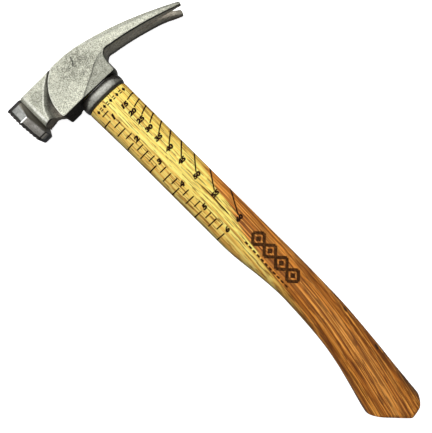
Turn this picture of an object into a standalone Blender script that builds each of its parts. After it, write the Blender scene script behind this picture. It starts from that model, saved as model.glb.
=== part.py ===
"""Claw hammer with a cast head, a separate milled striking cap, a guard
sleeve below the cheek, a curved hickory handle and the wedges in its eye.

Frame: the hammer lies on its side. +X runs along the handle towards the
head, +Y is the striking side, -Y is the claw side, +Z is up through the
thickness. The origin is the centre of the bounding box, on the surface that
the hammer lies on.

Every outline below is laid out in millimetres in a datum frame: x = 0 at the
wooden shoulder under the guard sleeve, y = 0 on the axis of the eye. The
parent empty moves that datum to the part's own origin.
"""
import math

import bmesh
import bpy
from mathutils import Vector

MM = 0.001

# ---------------------------------------------------------------- dimensions
CROWN_X = 46.0            # top of the head over the eye
POLL_X = 45.0             # top of the head at the striking end
CHEEK_X = 11.7            # lower edge of the cheeks
CHEEK_CLAW_Y = -21.0      # claw side of the cheeks
HEAD_T = 27.0             # thickness of the head
MID_Z = HEAD_T / 2
HEAD_EDGE = 0.9           # chamfer along the head's outline

CLAW_TIP_Y = -93.8        # end of the claws
CLAW_START_Y = 5.0        # where the crown starts to fall
CLAW_DROP = 0.0235        # crown falls CLAW_DROP * d ** CLAW_POWER
CLAW_POWER = 1.577
CLAW_TIP_T = 1.6          # thickness of the claws at their ends
CLAW_TAPER = 0.135        # gain in thickness per mm towards the crotch
CLAW_ROOT_Y = -31.0       # where the claws run into the crotch
SLOT_ROOT_Y = -52.0       # closed end of the nail slot
SLOT_ROOT_HALF = 0.7
SLOT_MOUTH_Y = -88.5      # where the slot flares out to its mouth
SLOT_MOUTH_HALF = 3.3
SLOT_TIP_HALF = 5.2

POLL_END_Y = 50.0         # shoulder where the striking cap seats
CHEEK_ARC = (16.2, 0.75, 33.6)    # centre x, centre y, radius of the cheek's rim
SCOOP_ARC = (-5.7, -5.9, 56.3)    # centre x, centre y, radius of the scoop's rim
SCOOP_DEPTH = 8.5         # deepest point of the scoop below the cheek
SCOOP_SLOPE = 0.85        # depth gained per mm of width, up to SCOOP_DEPTH

EYE_Y = 0.5               # centre of the eye
EYE_LEN = 31.0            # eye along Y
EYE_WID = 20.0            # eye along Z
FIT = 0.3                 # clearance between pieces that touch

CAP_RIDGE_X = 32.0        # ridge of the striking cap's sides
CAP_BOTTOM_X = 13.2
CAP_TOP_X = 46.0
CAP_HALF_RIDGE = 13.5
CAP_HALF_TOP = 11.2
CAP_HALF_SIDE = 10.3
CAP_HALF_BOTTOM = 9.6
CAP_BACK_Y = POLL_END_Y + FIT
CAP_SHOULDER_Y = 55.0     # end of the cap's back bevel on the ridge
CAP_SHOULDER_TOP_Y = 51.2     # the same at the crown
CAP_SHOULDER_LOW_Y = 52.4     # the same at the lower edge
CAP_RIM_Y = 62.3          # rim of the striking face
CAP_FACE_Y = 63.2         # crown of the striking face
CAP_CROWN_X = 38.0        # highest point of the face's crown
CAP_CROWN = 0.0022        # face falls CAP_CROWN * (x - CAP_CROWN_X) ** 2
CAP_BACK_INSET = 4.2
SPIGOT_X = 32.5
SPIGOT_HALF_X = 7.0
SPIGOT_HALF_Z = 6.0
SPIGOT_END_Y = 39.4
PIN_Y = 44.6
PIN_R = 2.0
PIN_TOP_X = 44.4
PIN_BOTTOM_X = 23.6

SLEEVE_LOW_X = 0.3
SLEEVE_HIGH_X = 11.4
SLEEVE_HALF_Y = 19.6
SLEEVE_HALF_Z = 12.7
NECK_HALF_Y = 16.6        # wood inside the sleeve
NECK_HALF_Z = 10.2
TENON_TOP_X = 45.4

KERF_END_X = 19.5
WEDGE_HALF_TOP = 1.7      # half thickness of the wooden wedge at the crown
WEDGE_HALF_END = 0.5
STEEL_DEPTH = 14.0
STEEL_HALF_WID = 6.5
STEEL_HALF_TOP = 1.3
STEEL_HALF_END = 0.35
STEEL_Y = (-6.5, 7.5)

# Handle stations: x, striking-side edge y, claw-side edge y, thickness,
# squareness of the section (2 is an ellipse)
HANDLE = (
    (0.0, 18.6, -19.4, 25.0, 2.7),
    (-45.0, 17.3, -20.0, 24.4, 2.7),
    (-90.0, 16.6, -20.7, 24.0, 2.7),
    (-130.0, 16.1, -21.4, 24.0, 2.6),
    (-155.0, 15.6, -21.8, 24.2, 2.5),
    (-172.0, 13.9, -22.0, 24.4, 2.4),
    (-190.0, 11.6, -22.4, 24.6, 2.3),
    (-210.0, 10.1, -22.5, 24.8, 2.25),
    (-230.0, 10.5, -22.4, 25.0, 2.25),
    (-250.0, 11.6, -22.1, 25.2, 2.25),
    (-267.0, 13.3, -21.1, 25.6, 2.3),
    (-283.0, 16.1, -19.9, 26.0, 2.4),
    (-299.0, 19.9, -18.5, 26.5, 2.5),
    (-313.0, 23.6, -17.1, 27.0, 2.5),
    (-326.0, 26.7, -16.0, 27.0, 2.5),
    (-343.0, 29.2, -14.6, 27.0, 2.5),
    (-362.0, 31.0, -13.6, 27.0, 2.5),
)
BUTT_X = -352.4           # lowest corner of the butt
BUTT_Y = 3.2
BUTT_CUT_DEG = 46.0       # slant of the butt's long face
BUTT_TOE_DEG = 10.0        # slant of the butt's short face
BUTT_HEEL = (-347.6, -11.2, 42.0)   # point and slant of the heel chamfer
BUTT_EDGE = 2.4           # chamfer round the butt

# The datum frame's origin in the part's own frame
ORIGIN_X = -(CROWN_X + BUTT_X) / 2
ORIGIN_Y = -(CAP_FACE_Y + CLAW_TIP_Y) / 2


# ---------------------------------------------------------------- utilities
def clear_scene():
    for ob in list(bpy.data.objects):
        bpy.data.objects.remove(ob, do_unlink=True)
    for group in (bpy.data.meshes, bpy.data.curves, bpy.data.materials):
        for block in list(group):
            group.remove(block)


def material(name, colour, metallic, roughness):
    mat = bpy.data.materials.new(name)
    mat.use_nodes = True
    node = mat.node_tree.nodes["Principled BSDF"]
    node.inputs["Base Color"].default_value = (*colour, 1.0)
    node.inputs["Metallic"].default_value = metallic
    node.inputs["Roughness"].default_value = roughness
    return mat


def make_object(name, bm, mat=None, smooth_deg=None):
    bmesh.ops.recalc_face_normals(bm, faces=bm.faces)
    mesh = bpy.data.meshes.new(name)
    bm.to_mesh(mesh)
    bm.free()
    ob = bpy.data.objects.new(name, mesh)
    bpy.context.scene.collection.objects.link(ob)
    ob.parent = ROOT
    if mat is not None:
        mesh.materials.append(mat)
    if smooth_deg is not None:
        mesh.shade_smooth()
        mesh.set_sharp_from_angle(angle=math.radians(smooth_deg))
    return ob


def cutter(name, bm):
    ob = make_object(name, bm)
    ob.hide_render = True
    ob.display_type = "WIRE"
    return ob


def cut(target, tool):
    mod = target.modifiers.new("cut_" + tool.name, "BOOLEAN")
    mod.operation = "DIFFERENCE"
    mod.object = tool


def loft(rings, closed_ends=True):
    """Skin rings of equal length, given in mm, and cap both ends."""
    bm = bmesh.new()
    loops = [[bm.verts.new(Vector(p) * MM) for p in ring] for ring in rings]
    for a, b in zip(loops, loops[1:]):
        n = len(a)
        for i in range(n):
            j = (i + 1) % n
            bm.faces.new((a[i], a[j], b[j], b[i]))
    if closed_ends:
        bm.faces.new(loops[0])
        bm.faces.new(list(reversed(loops[-1])))
    return bm


def smooth_curve(points, steps):
    """Centripetal-like curve through the points, steps samples a span."""
    out = []
    n = len(points)
    for i in range(n - 1):
        p0 = points[max(i - 1, 0)]
        p1, p2 = points[i], points[i + 1]
        p3 = points[min(i + 2, n - 1)]
        for k in range(steps):
            t = k / steps
            out.append(tuple(
                0.5 * (2 * b + (c - a) * t + (2 * a - 5 * b + 4 * c - d) * t * t
                       + (3 * b - a - 3 * c + d) * t ** 3)
                for a, b, c, d in zip(p0, p1, p2, p3)))
    out.append(tuple(points[-1]))
    return out


def inset_outline(points, full_distance):
    """Move a counter-clockwise outline inwards, less where the claws are thin."""
    n = len(points)
    out = []
    for i in range(n):
        ax, ay = points[i - 1]
        bx, by = points[i]
        distance = min(full_distance, 0.35 + 0.04 * (by - CLAW_TIP_Y))
        cx, cy = points[(i + 1) % n]
        ux, uy = bx - ax, by - ay
        vx, vy = cx - bx, cy - by
        lu, lv = math.hypot(ux, uy), math.hypot(vx, vy)
        nx, ny = -uy / lu - vy / lv, ux / lu + vx / lv
        ln = math.hypot(nx, ny)
        nx, ny = nx / ln, ny / ln
        cosine = max(0.45, nx * -uy / lu + ny * ux / lu)
        out.append((bx + nx * distance / cosine, by + ny * distance / cosine))
    return out


def oval(x, cy, half_y, half_z, squareness, count):
    ring = []
    for i in range(count):
        a = 2 * math.pi * (i + 0.5) / count
        c, s = math.cos(a), math.sin(a)
        ring.append((x,
                     cy + half_y * math.copysign(abs(c) ** (2 / squareness), c),
                     MID_Z + half_z * math.copysign(abs(s) ** (2 / squareness), s)))
    return ring


def box_between(low, high):
    (x0, y0, z0), (x1, y1, z1) = low, high
    return loft([[(x, y0, z0), (x, y1, z0), (x, y1, z1), (x, y0, z1)]
                 for x in (x0, x1)])


def tapered_wedge(top_x, end_x, y_half_top, y_half_end, z_half_top, z_half_end,
                  centre_y):
    rings = []
    for x, hy, hz in ((top_x, y_half_top, z_half_top),
                      (end_x, y_half_end, z_half_end)):
        rings.append([(x, centre_y - hy, MID_Z - hz), (x, centre_y + hy, MID_Z - hz),
                      (x, centre_y + hy, MID_Z + hz), (x, centre_y - hy, MID_Z + hz)])
    return loft(rings)


# ---------------------------------------------------------------- the head
def claw_crown(y):
    return CROWN_X - CLAW_DROP * max(CLAW_START_Y - y, 0.0) ** CLAW_POWER


def claw_under(y):
    return claw_crown(y) - CLAW_TIP_T - CLAW_TAPER * (y - CLAW_TIP_Y)


def head_outline():
    crown = smooth_curve([(POLL_X, POLL_END_Y), (POLL_X, 36.0), (POLL_X + 0.2, 24.0),
                          (CROWN_X - 0.1, 15.0), (CROWN_X, CLAW_START_Y)], 3)[:-1]
    steps = 14
    claw_top = [(claw_crown(y), y) for y in
                (CLAW_START_Y + (CLAW_TIP_Y - CLAW_START_Y) * k / steps
                 for k in range(steps + 1))]
    steps = 9
    claw_low = [(claw_under(y), y) for y in
                (CLAW_TIP_Y + (CLAW_ROOT_Y - CLAW_TIP_Y) * k / steps
                 for k in range(steps + 1))]
    crotch = smooth_curve([(claw_under(CLAW_ROOT_Y), CLAW_ROOT_Y), (29.3, -27.2),
                           (27.4, -24.0), (23.8, -21.9), (19.0, CHEEK_CLAW_Y + 0.1),
                           (CHEEK_X + 1.0, CHEEK_CLAW_Y)], 3)[1:]
    cheek = [(CHEEK_X, CHEEK_CLAW_Y + 1.0), (CHEEK_X, -8.0), (CHEEK_X, 6.0),
             (CHEEK_X, 20.0), (CHEEK_X - 0.1, 31.6), (CHEEK_X + 0.2, 33.4)]
    throat = smooth_curve([(CHEEK_X + 1.0, 34.0), (14.6, 34.9), (18.4, 37.6),
                           (20.9, 41.6), (21.2, 45.6), (19.8, 48.6),
                           (17.4, POLL_END_Y)], 3)
    return crown + claw_top + claw_low + crotch + cheek + throat


def scoop_cutter(name, side):
    """Hollow between the cheek's round rim and the poll, one per side."""
    ccx, ccy, cr = CHEEK_ARC
    scx, scy, sr = SCOOP_ARC
    rings = []
    count = 13
    for k in range(count + 1):
        # bearing about the cheek's centre, from the crown to below the throat
        bearing = math.radians(26.5 + (118.0 - 26.5) * k / count)
        ux, uy = math.cos(bearing), math.sin(bearing)
        px, py = ccx - scx, ccy - scy
        dot = px * ux + py * uy
        reach = -dot + math.sqrt(max(dot * dot - (px * px + py * py - sr * sr), 0.0))
        width = max(reach - cr, 0.25)
        depth = min(SCOOP_SLOPE * width, SCOOP_DEPTH)
        section = [(cr, HEAD_T + 2.0), (cr, HEAD_T - depth)]
        for s in (0.25, 0.5, 0.75):
            section.append((cr + width * s, HEAD_T - depth * (1 - s ** 2.2)))
        section.append((cr + width, HEAD_T))
        section.append((cr + width + 0.4, HEAD_T + 2.0))
        rings.append([(ccx + r * ux, ccy + r * uy, z if side > 0 else HEAD_T - z)
                      for r, z in section])
    return cutter(name, loft(rings))


def build_head(mat):
    outline = head_outline()
    area = sum(a[0] * b[1] - b[0] * a[1]
               for a, b in zip(outline, outline[1:] + outline[:1]))
    if area < 0:
        outline = outline[::-1]
    small = inset_outline(outline, HEAD_EDGE)
    rings = [[(x, y, z) for x, y in ring] for ring, z in
             ((small, 0.0), (outline, HEAD_EDGE), (outline, HEAD_T - HEAD_EDGE),
              (small, HEAD_T))]
    head = make_object("head_casting", loft(rings), mat, 32)

    cut(head, scoop_cutter("scoop_upper", 1))
    cut(head, scoop_cutter("scoop_lower", -1))

    slot = []
    for x in (4.0, 42.0):
        flare = (SLOT_TIP_HALF - SLOT_MOUTH_HALF) / (SLOT_MOUTH_Y - CLAW_TIP_Y)
        half = [(SLOT_ROOT_Y + 0.7, 0.0), (SLOT_ROOT_Y, SLOT_ROOT_HALF),
                (SLOT_MOUTH_Y, SLOT_MOUTH_HALF),
                (CLAW_TIP_Y - 3.0, SLOT_TIP_HALF + 3.0 * flare)]
        slot.append([(x, y, MID_Z + h) for y, h in half]
                    + [(x, y, MID_Z - h) for y, h in half[:0:-1]])
    cut(head, cutter("nail_slot", loft(slot)))

    eye = [oval(x, EYE_Y, half_y, half_z, 2.5, 28) for x, half_y, half_z in
           ((CHEEK_X - 3, EYE_LEN / 2 + 0.1, EYE_WID / 2),
            (30.0, EYE_LEN / 2 - 0.5, EYE_WID / 2 - 0.4),
            (CROWN_X + 3, EYE_LEN / 2 + 0.2, EYE_WID / 2 + 0.2))]
    cut(head, cutter("eye", loft(eye)))

    hx, hz = SPIGOT_HALF_X + FIT, SPIGOT_HALF_Z + FIT
    socket = [spigot_ring(y, hx, hz) for y in (SPIGOT_END_Y - FIT - 0.1, POLL_END_Y + 3)]
    cut(head, cutter("cap_socket", loft(socket)))
    cut(head, cutter("pin_bore", rod(PIN_BOTTOM_X - FIT, POLL_X + 3, PIN_R + FIT, 16)))
    return head


# ---------------------------------------------------------------- the cap
def spigot_ring(y, hx, hz):
    c = 1.6
    pts = [(hx - c, hz), (0.0, hz), (-hx + c, hz), (-hx, hz - c),
           (-hx, -hz + c), (-hx + c, -hz), (0.0, -hz), (hx - c, -hz),
           (hx, -hz + c), (hx, hz - c)]
    return [(SPIGOT_X + x, y, MID_Z + z) for x, z in pts]


def cap_ring(y, inset, top_inset=None, top_y=None, low_y=None, crown=0.0):
    """Six-sided section with a ridge on each side; the crown stays flush."""
    top = CAP_TOP_X - (inset if top_inset is None else top_inset)
    low = CAP_BOTTOM_X + inset
    ridge, high = CAP_HALF_RIDGE - inset, CAP_HALF_TOP - inset
    side, foot = CAP_HALF_SIDE - inset, CAP_HALF_BOTTOM - inset
    top_y = y if top_y is None else top_y
    low_y = y if low_y is None else low_y
    pts = [(top - 0.5, top_y, high), (CAP_RIDGE_X, y, ridge), (low + 0.7, low_y, side),
           (low, low_y, foot), (low, low_y, -foot), (low + 0.7, low_y, -side),
           (CAP_RIDGE_X, y, -ridge), (top - 0.5, top_y, -high),
           (top, top_y, -high + 0.6), (top, top_y, high - 0.6)]
    return [(x, v - crown * (x - CAP_CROWN_X) ** 2, MID_Z + z) for x, v, z in pts]


def rod(x0, x1, radius, count, y=PIN_Y, chamfer=0.0):
    rings = []
    spans = [(x0, radius), (x1, radius)]
    if chamfer:
        spans = [(x0, radius - chamfer), (x0 + chamfer, radius),
                 (x1 - chamfer, radius), (x1, radius - chamfer)]
    for x, r in spans:
        rings.append([(x, y + r * math.cos(2 * math.pi * i / count),
                       MID_Z + r * math.sin(2 * math.pi * i / count))
                      for i in range(count)])
    return loft(rings)


def build_cap(mat):
    rings = [spigot_ring(SPIGOT_END_Y, SPIGOT_HALF_X - 0.6, SPIGOT_HALF_Z - 0.6),
             spigot_ring(SPIGOT_END_Y + 0.6, SPIGOT_HALF_X, SPIGOT_HALF_Z),
             spigot_ring(CAP_BACK_Y, SPIGOT_HALF_X, SPIGOT_HALF_Z),
             cap_ring(CAP_BACK_Y, CAP_BACK_INSET, 1.0),
             cap_ring(CAP_SHOULDER_Y, 0.0, 0.0, CAP_SHOULDER_TOP_Y, CAP_SHOULDER_LOW_Y),
             cap_ring(CAP_RIM_Y - 0.7, 0.0, crown=CAP_CROWN),
             cap_ring(CAP_RIM_Y, 0.7, crown=CAP_CROWN),
             cap_ring(CAP_FACE_Y - 0.3, 4.0, crown=CAP_CROWN),
             cap_ring(CAP_FACE_Y, 7.0, crown=CAP_CROWN)]
    cap = make_object("striking_cap", loft(rings), mat, 25)
    cut(cap, cutter("pin_bore_cap", rod(PIN_BOTTOM_X - FIT, POLL_X + 3, PIN_R + FIT, 16)))
    return cap


# ---------------------------------------------------------------- the sleeve
def build_sleeve(mat):
    """Closed band: an outer bulge and a plain bore, turned round the neck."""
    count = 40
    length = SLEEVE_HIGH_X - SLEEVE_LOW_X
    profile = []            # x, outward offset from the outer surface
    for k in range(7):
        t = k / 6
        profile.append((SLEEVE_LOW_X + length * t, -1.1 * (2 * t - 1) ** 4))
    bm = bmesh.new()
    rows = []
    for x, off in profile:
        rows.append([bm.verts.new(Vector(p) * MM) for p in
                     oval(x, 0.0, SLEEVE_HALF_Y + off, SLEEVE_HALF_Z + off, 2.6, count)])
    for x in (SLEEVE_HIGH_X, SLEEVE_LOW_X):
        rows.append([bm.verts.new(Vector(p) * MM) for p in
                     oval(x, 0.0, NECK_HALF_Y + FIT, NECK_HALF_Z + FIT, 2.6, count)])
    for a, b in zip(rows, rows[1:] + rows[:1]):
        for i in range(count):
            j = (i + 1) % count
            bm.faces.new((a[i], a[j], b[j], b[i]))
    return make_object("guard_sleeve", bm, mat, 35)


# ---------------------------------------------------------------- the handle
def handle_stations():
    xs = [row[0] for row in HANDLE]
    pts = smooth_curve([tuple(row) for row in HANDLE], 2)
    return [p for p in pts if p[0] <= xs[0]]


def slice_off(bm, point, normal):
    """Remove what lies beyond the plane and close the cut."""
    res = bmesh.ops.bisect_plane(
        bm, geom=bm.verts[:] + bm.edges[:] + bm.faces[:], dist=1e-7,
        plane_co=point, plane_no=normal, clear_outer=True)
    edges = [e for e in res["geom_cut"] if isinstance(e, bmesh.types.BMEdge)]
    bmesh.ops.holes_fill(bm, edges=edges, sides=0)
    bmesh.ops.dissolve_degenerate(bm, dist=2e-5, edges=bm.edges[:])


def build_handle(mat):
    count = 28
    rings = []
    hy, hz = EYE_LEN / 2 - FIT, EYE_WID / 2 - FIT
    rings.append(oval(TENON_TOP_X, EYE_Y, hy, hz, 2.5, count))
    rings.append(oval(30.0, EYE_Y, hy - 0.6, hz - 0.5, 2.5, count))
    rings.append(oval(CHEEK_X - 0.35, EYE_Y, hy - 0.1, hz - 0.1, 2.5, count))
    rings.append(oval(SLEEVE_HIGH_X - 0.6, 0.0, NECK_HALF_Y, NECK_HALF_Z, 2.6, count))
    rings.append(oval(0.0, 0.0, NECK_HALF_Y, NECK_HALF_Z, 2.6, count))
    first = True
    for x, y_hi, y_lo, thick, sq in handle_stations():
        if first:
            rings.append(oval(x, (y_hi + y_lo) / 2, (y_hi - y_lo) / 2 - 0.8,
                              thick / 2 - 0.8, sq, count))
            x -= 0.8
            first = False
        rings.append(oval(x, (y_hi + y_lo) / 2, (y_hi - y_lo) / 2, thick / 2, sq, count))
    bm = loft(rings)
    bmesh.ops.recalc_face_normals(bm, faces=bm.faces)

    # the butt: a long slanted face, a short one and a heel, all chamfered
    heel_x, heel_y, heel_deg = BUTT_HEEL
    for px, py, deg in ((BUTT_X, BUTT_Y, BUTT_CUT_DEG), (BUTT_X, BUTT_Y, -BUTT_TOE_DEG),
                        (heel_x, heel_y, -heel_deg)):
        a = math.radians(deg)
        for side in (0, 1, -1):
            lean = math.radians(45.0) * side
            normal = Vector((-math.cos(a) * math.cos(lean),
                             math.sin(a) * math.cos(lean), math.sin(lean)))
            point = Vector((px, py, MID_Z + side * (HEAD_T / 2 - BUTT_EDGE))) * MM
            slice_off(bm, point, normal)
    handle = make_object("handle", bm, mat, 32)

    kerf = tapered_wedge(TENON_TOP_X + 2, KERF_END_X, EYE_LEN, EYE_LEN,
                         WEDGE_HALF_TOP + FIT + 0.1, WEDGE_HALF_END + FIT, EYE_Y)
    cut(handle, cutter("kerf", kerf))
    for i, y in enumerate(STEEL_Y):
        cut(handle, steel_pocket("steel_pocket_%d" % (i + 1), y))
    return handle


def steel_pocket(name, y):
    return cutter(name, tapered_wedge(
        TENON_TOP_X + 2, TENON_TOP_X - STEEL_DEPTH - FIT,
        STEEL_HALF_TOP + FIT + 0.15, STEEL_HALF_END + FIT,
        STEEL_HALF_WID + FIT, STEEL_HALF_WID - 0.6 + FIT, y))


def build_wedges(wood, steel):
    hy = EYE_LEN / 2 - 1.6
    wedge = make_object("wooden_wedge", tapered_wedge(
        TENON_TOP_X, KERF_END_X + 1.2, hy, hy - 1.0,
        WEDGE_HALF_TOP, WEDGE_HALF_END, EYE_Y), wood)
    for i, y in enumerate(STEEL_Y):
        cut(wedge, steel_pocket("wedge_slot_%d" % (i + 1), y))
        make_object("steel_wedge_%d" % (i + 1), tapered_wedge(
            TENON_TOP_X + 0.1, TENON_TOP_X - STEEL_DEPTH, STEEL_HALF_TOP, STEEL_HALF_END,
            STEEL_HALF_WID, STEEL_HALF_WID - 0.6, y), steel)


clear_scene()
ROOT = bpy.data.objects.new("hammer_origin", None)
bpy.context.scene.collection.objects.link(ROOT)
ROOT.location = (ORIGIN_X * MM, ORIGIN_Y * MM, 0.0)

cast = material("cast_metal", (0.47, 0.47, 0.41), 0.85, 0.55)
steel = material("face_steel", (0.22, 0.21, 0.20), 0.9, 0.42)
wedge_steel = material("wedge_steel", (0.30, 0.29, 0.28), 0.9, 0.45)
pin_steel = material("pin_steel", (0.34, 0.33, 0.32), 0.9, 0.35)
sleeve = material("sleeve_rubber", (0.12, 0.12, 0.12), 0.0, 0.5)
hickory = material("hickory", (0.60, 0.36, 0.13), 0.0, 0.42)
wedge_wood = material("wedge_wood", (0.45, 0.24, 0.09), 0.0, 0.6)

build_head(cast)
build_cap(steel)
make_object("cap_pin", rod(PIN_BOTTOM_X, PIN_TOP_X, PIN_R, 16, chamfer=0.4), pin_steel, 35)
build_sleeve(sleeve)
build_handle(hickory)
build_wedges(wedge_wood, wedge_steel)
bpy.context.view_layer.update()
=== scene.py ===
"""Looks of the claw hammer: cast head, milled striking cap, guard sleeve,
curved hickory handle with a burnt ruler and angle scale, and its wedges.

Shapes are laid out in millimetres in a datum frame (x = 0 at the wooden
shoulder under the sleeve, y = 0 on the axis of the eye, z = 0 on the surface
the hammer lies on), and moved to the row frame with the offset that the CAD
boxes give.
"""
import math

import bmesh
import bpy
import numpy as np
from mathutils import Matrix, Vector, noise


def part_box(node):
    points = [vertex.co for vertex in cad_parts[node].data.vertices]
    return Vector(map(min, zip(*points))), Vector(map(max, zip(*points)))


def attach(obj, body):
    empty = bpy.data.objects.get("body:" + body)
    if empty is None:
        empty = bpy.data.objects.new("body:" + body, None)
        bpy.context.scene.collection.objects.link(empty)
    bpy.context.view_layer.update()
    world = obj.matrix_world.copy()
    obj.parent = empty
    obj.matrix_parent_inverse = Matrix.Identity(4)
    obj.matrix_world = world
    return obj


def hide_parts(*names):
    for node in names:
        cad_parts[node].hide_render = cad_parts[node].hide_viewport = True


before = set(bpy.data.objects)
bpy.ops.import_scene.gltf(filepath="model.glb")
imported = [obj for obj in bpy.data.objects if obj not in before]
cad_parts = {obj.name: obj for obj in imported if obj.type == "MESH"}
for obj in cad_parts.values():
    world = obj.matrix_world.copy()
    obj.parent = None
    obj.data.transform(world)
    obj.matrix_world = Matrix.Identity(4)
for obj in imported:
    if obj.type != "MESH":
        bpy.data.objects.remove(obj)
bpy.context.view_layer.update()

MM = 0.001
sleeve_lo, sleeve_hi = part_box("guard_sleeve")
OX = sleeve_lo.x / MM - 0.3
OY = (sleeve_lo.y + sleeve_hi.y) / 2 / MM
HEAD_T = 27.0
MID_Z = HEAD_T / 2
KNOTS = ((-253.5, -19.2), (-292.2, -16.2))


def P(x, y, z):
    return Vector(((x + OX) * MM, (y + OY) * MM, z * MM))


# ------------------------------------------------------------------ utilities
def link(ob):
    bpy.context.scene.collection.objects.link(ob)
    return ob


def mesh_object(name, verts, faces, mat=None, smooth_deg=None):
    """Object from vertices in datum millimetres."""
    mesh = bpy.data.meshes.new(name)
    mesh.from_pydata([P(*v) for v in verts], [], [tuple(int(i) for i in f) for f in faces])
    mesh.validate()
    bm = bmesh.new()
    bm.from_mesh(mesh)
    bmesh.ops.recalc_face_normals(bm, faces=bm.faces)
    bm.to_mesh(mesh)
    bm.free()
    ob = link(bpy.data.objects.new(name, mesh))
    if mat is not None:
        mesh.materials.append(mat)
    if smooth_deg is not None:
        mesh.shade_smooth()
        mesh.set_sharp_from_angle(angle=math.radians(smooth_deg))
    return ob


def loft(name, rings, mat=None, smooth_deg=None):
    n = len(rings[0])
    verts = [p for ring in rings for p in ring]
    faces = []
    for k in range(len(rings) - 1):
        for i in range(n):
            j = (i + 1) % n
            faces.append((k * n + i, k * n + j, (k + 1) * n + j, (k + 1) * n + i))
    faces.append(tuple(range(n)))
    faces.append(tuple(reversed(range((len(rings) - 1) * n, len(rings) * n))))
    return mesh_object(name, verts, faces, mat, smooth_deg)


def cut(target, tool):
    mod = target.modifiers.new("cut", "BOOLEAN")
    mod.operation = "DIFFERENCE"
    mod.solver = "EXACT"
    mod.object = tool


def bake_modifiers(ob):
    """Replace the object's mesh with its evaluated mesh."""
    dg = bpy.context.evaluated_depsgraph_get()
    dg.update()
    new = bpy.data.meshes.new_from_object(ob.evaluated_get(dg), depsgraph=dg)
    old = ob.data
    ob.modifiers.clear()
    ob.data = new
    bpy.data.meshes.remove(old)
    return ob


def remove(*obs):
    for ob in obs:
        bpy.data.objects.remove(ob, do_unlink=True)


def smooth_curve(points, steps):
    out = []
    n = len(points)
    for i in range(n - 1):
        p0 = points[max(i - 1, 0)]
        p1, p2 = points[i], points[i + 1]
        p3 = points[min(i + 2, n - 1)]
        for k in range(steps):
            t = k / steps
            out.append(tuple(
                0.5 * (2 * b + (c - a) * t + (2 * a - 5 * b + 4 * c - d) * t * t
                       + (3 * b - a - 3 * c + d) * t ** 3)
                for a, b, c, d in zip(p0, p1, p2, p3)))
    out.append(tuple(points[-1]))
    return out


def oval(x, cy, half_y, half_z, squareness, count):
    """Superellipse ring, points evenly spaced along its length."""
    dense = np.linspace(0, 2 * math.pi, 1441)
    c, s = np.cos(dense), np.sin(dense)
    y = cy + half_y * np.sign(c) * np.abs(c) ** (2 / squareness)
    z = MID_Z + half_z * np.sign(s) * np.abs(s) ** (2 / squareness)
    run = np.concatenate([[0], np.cumsum(np.hypot(np.diff(y), np.diff(z)))])
    at = np.linspace(0, run[-1], count + 1)[:-1]
    return [(x, float(a), float(b)) for a, b in
            zip(np.interp(at, run, y), np.interp(at, run, z))]


def fill_grid_noise(mesh, scale_mm, amount_mm, seed, octaves=3):
    """Move vertices along their normals by a fixed fractal noise."""
    n = len(mesh.vertices)
    co = np.zeros(n * 3, np.float32)
    mesh.vertices.foreach_get("co", co)
    co = co.reshape(-1, 3)
    nor = np.zeros(n * 3, np.float32)
    mesh.vertex_normals.foreach_get("vector", nor)
    nor = nor.reshape(-1, 3)
    shift = np.empty(n, np.float32)
    k = 1.0 / (scale_mm * MM)
    off = Vector((seed, seed * 1.7, seed * 0.3))
    for i in range(n):
        v = Vector(co[i].tolist()) * k + off
        shift[i] = noise.fractal(v, 0.9, 2.1, octaves)
    co += nor * (shift * amount_mm * MM)[:, None]
    mesh.vertices.foreach_set("co", co.ravel())
    mesh.update()


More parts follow.
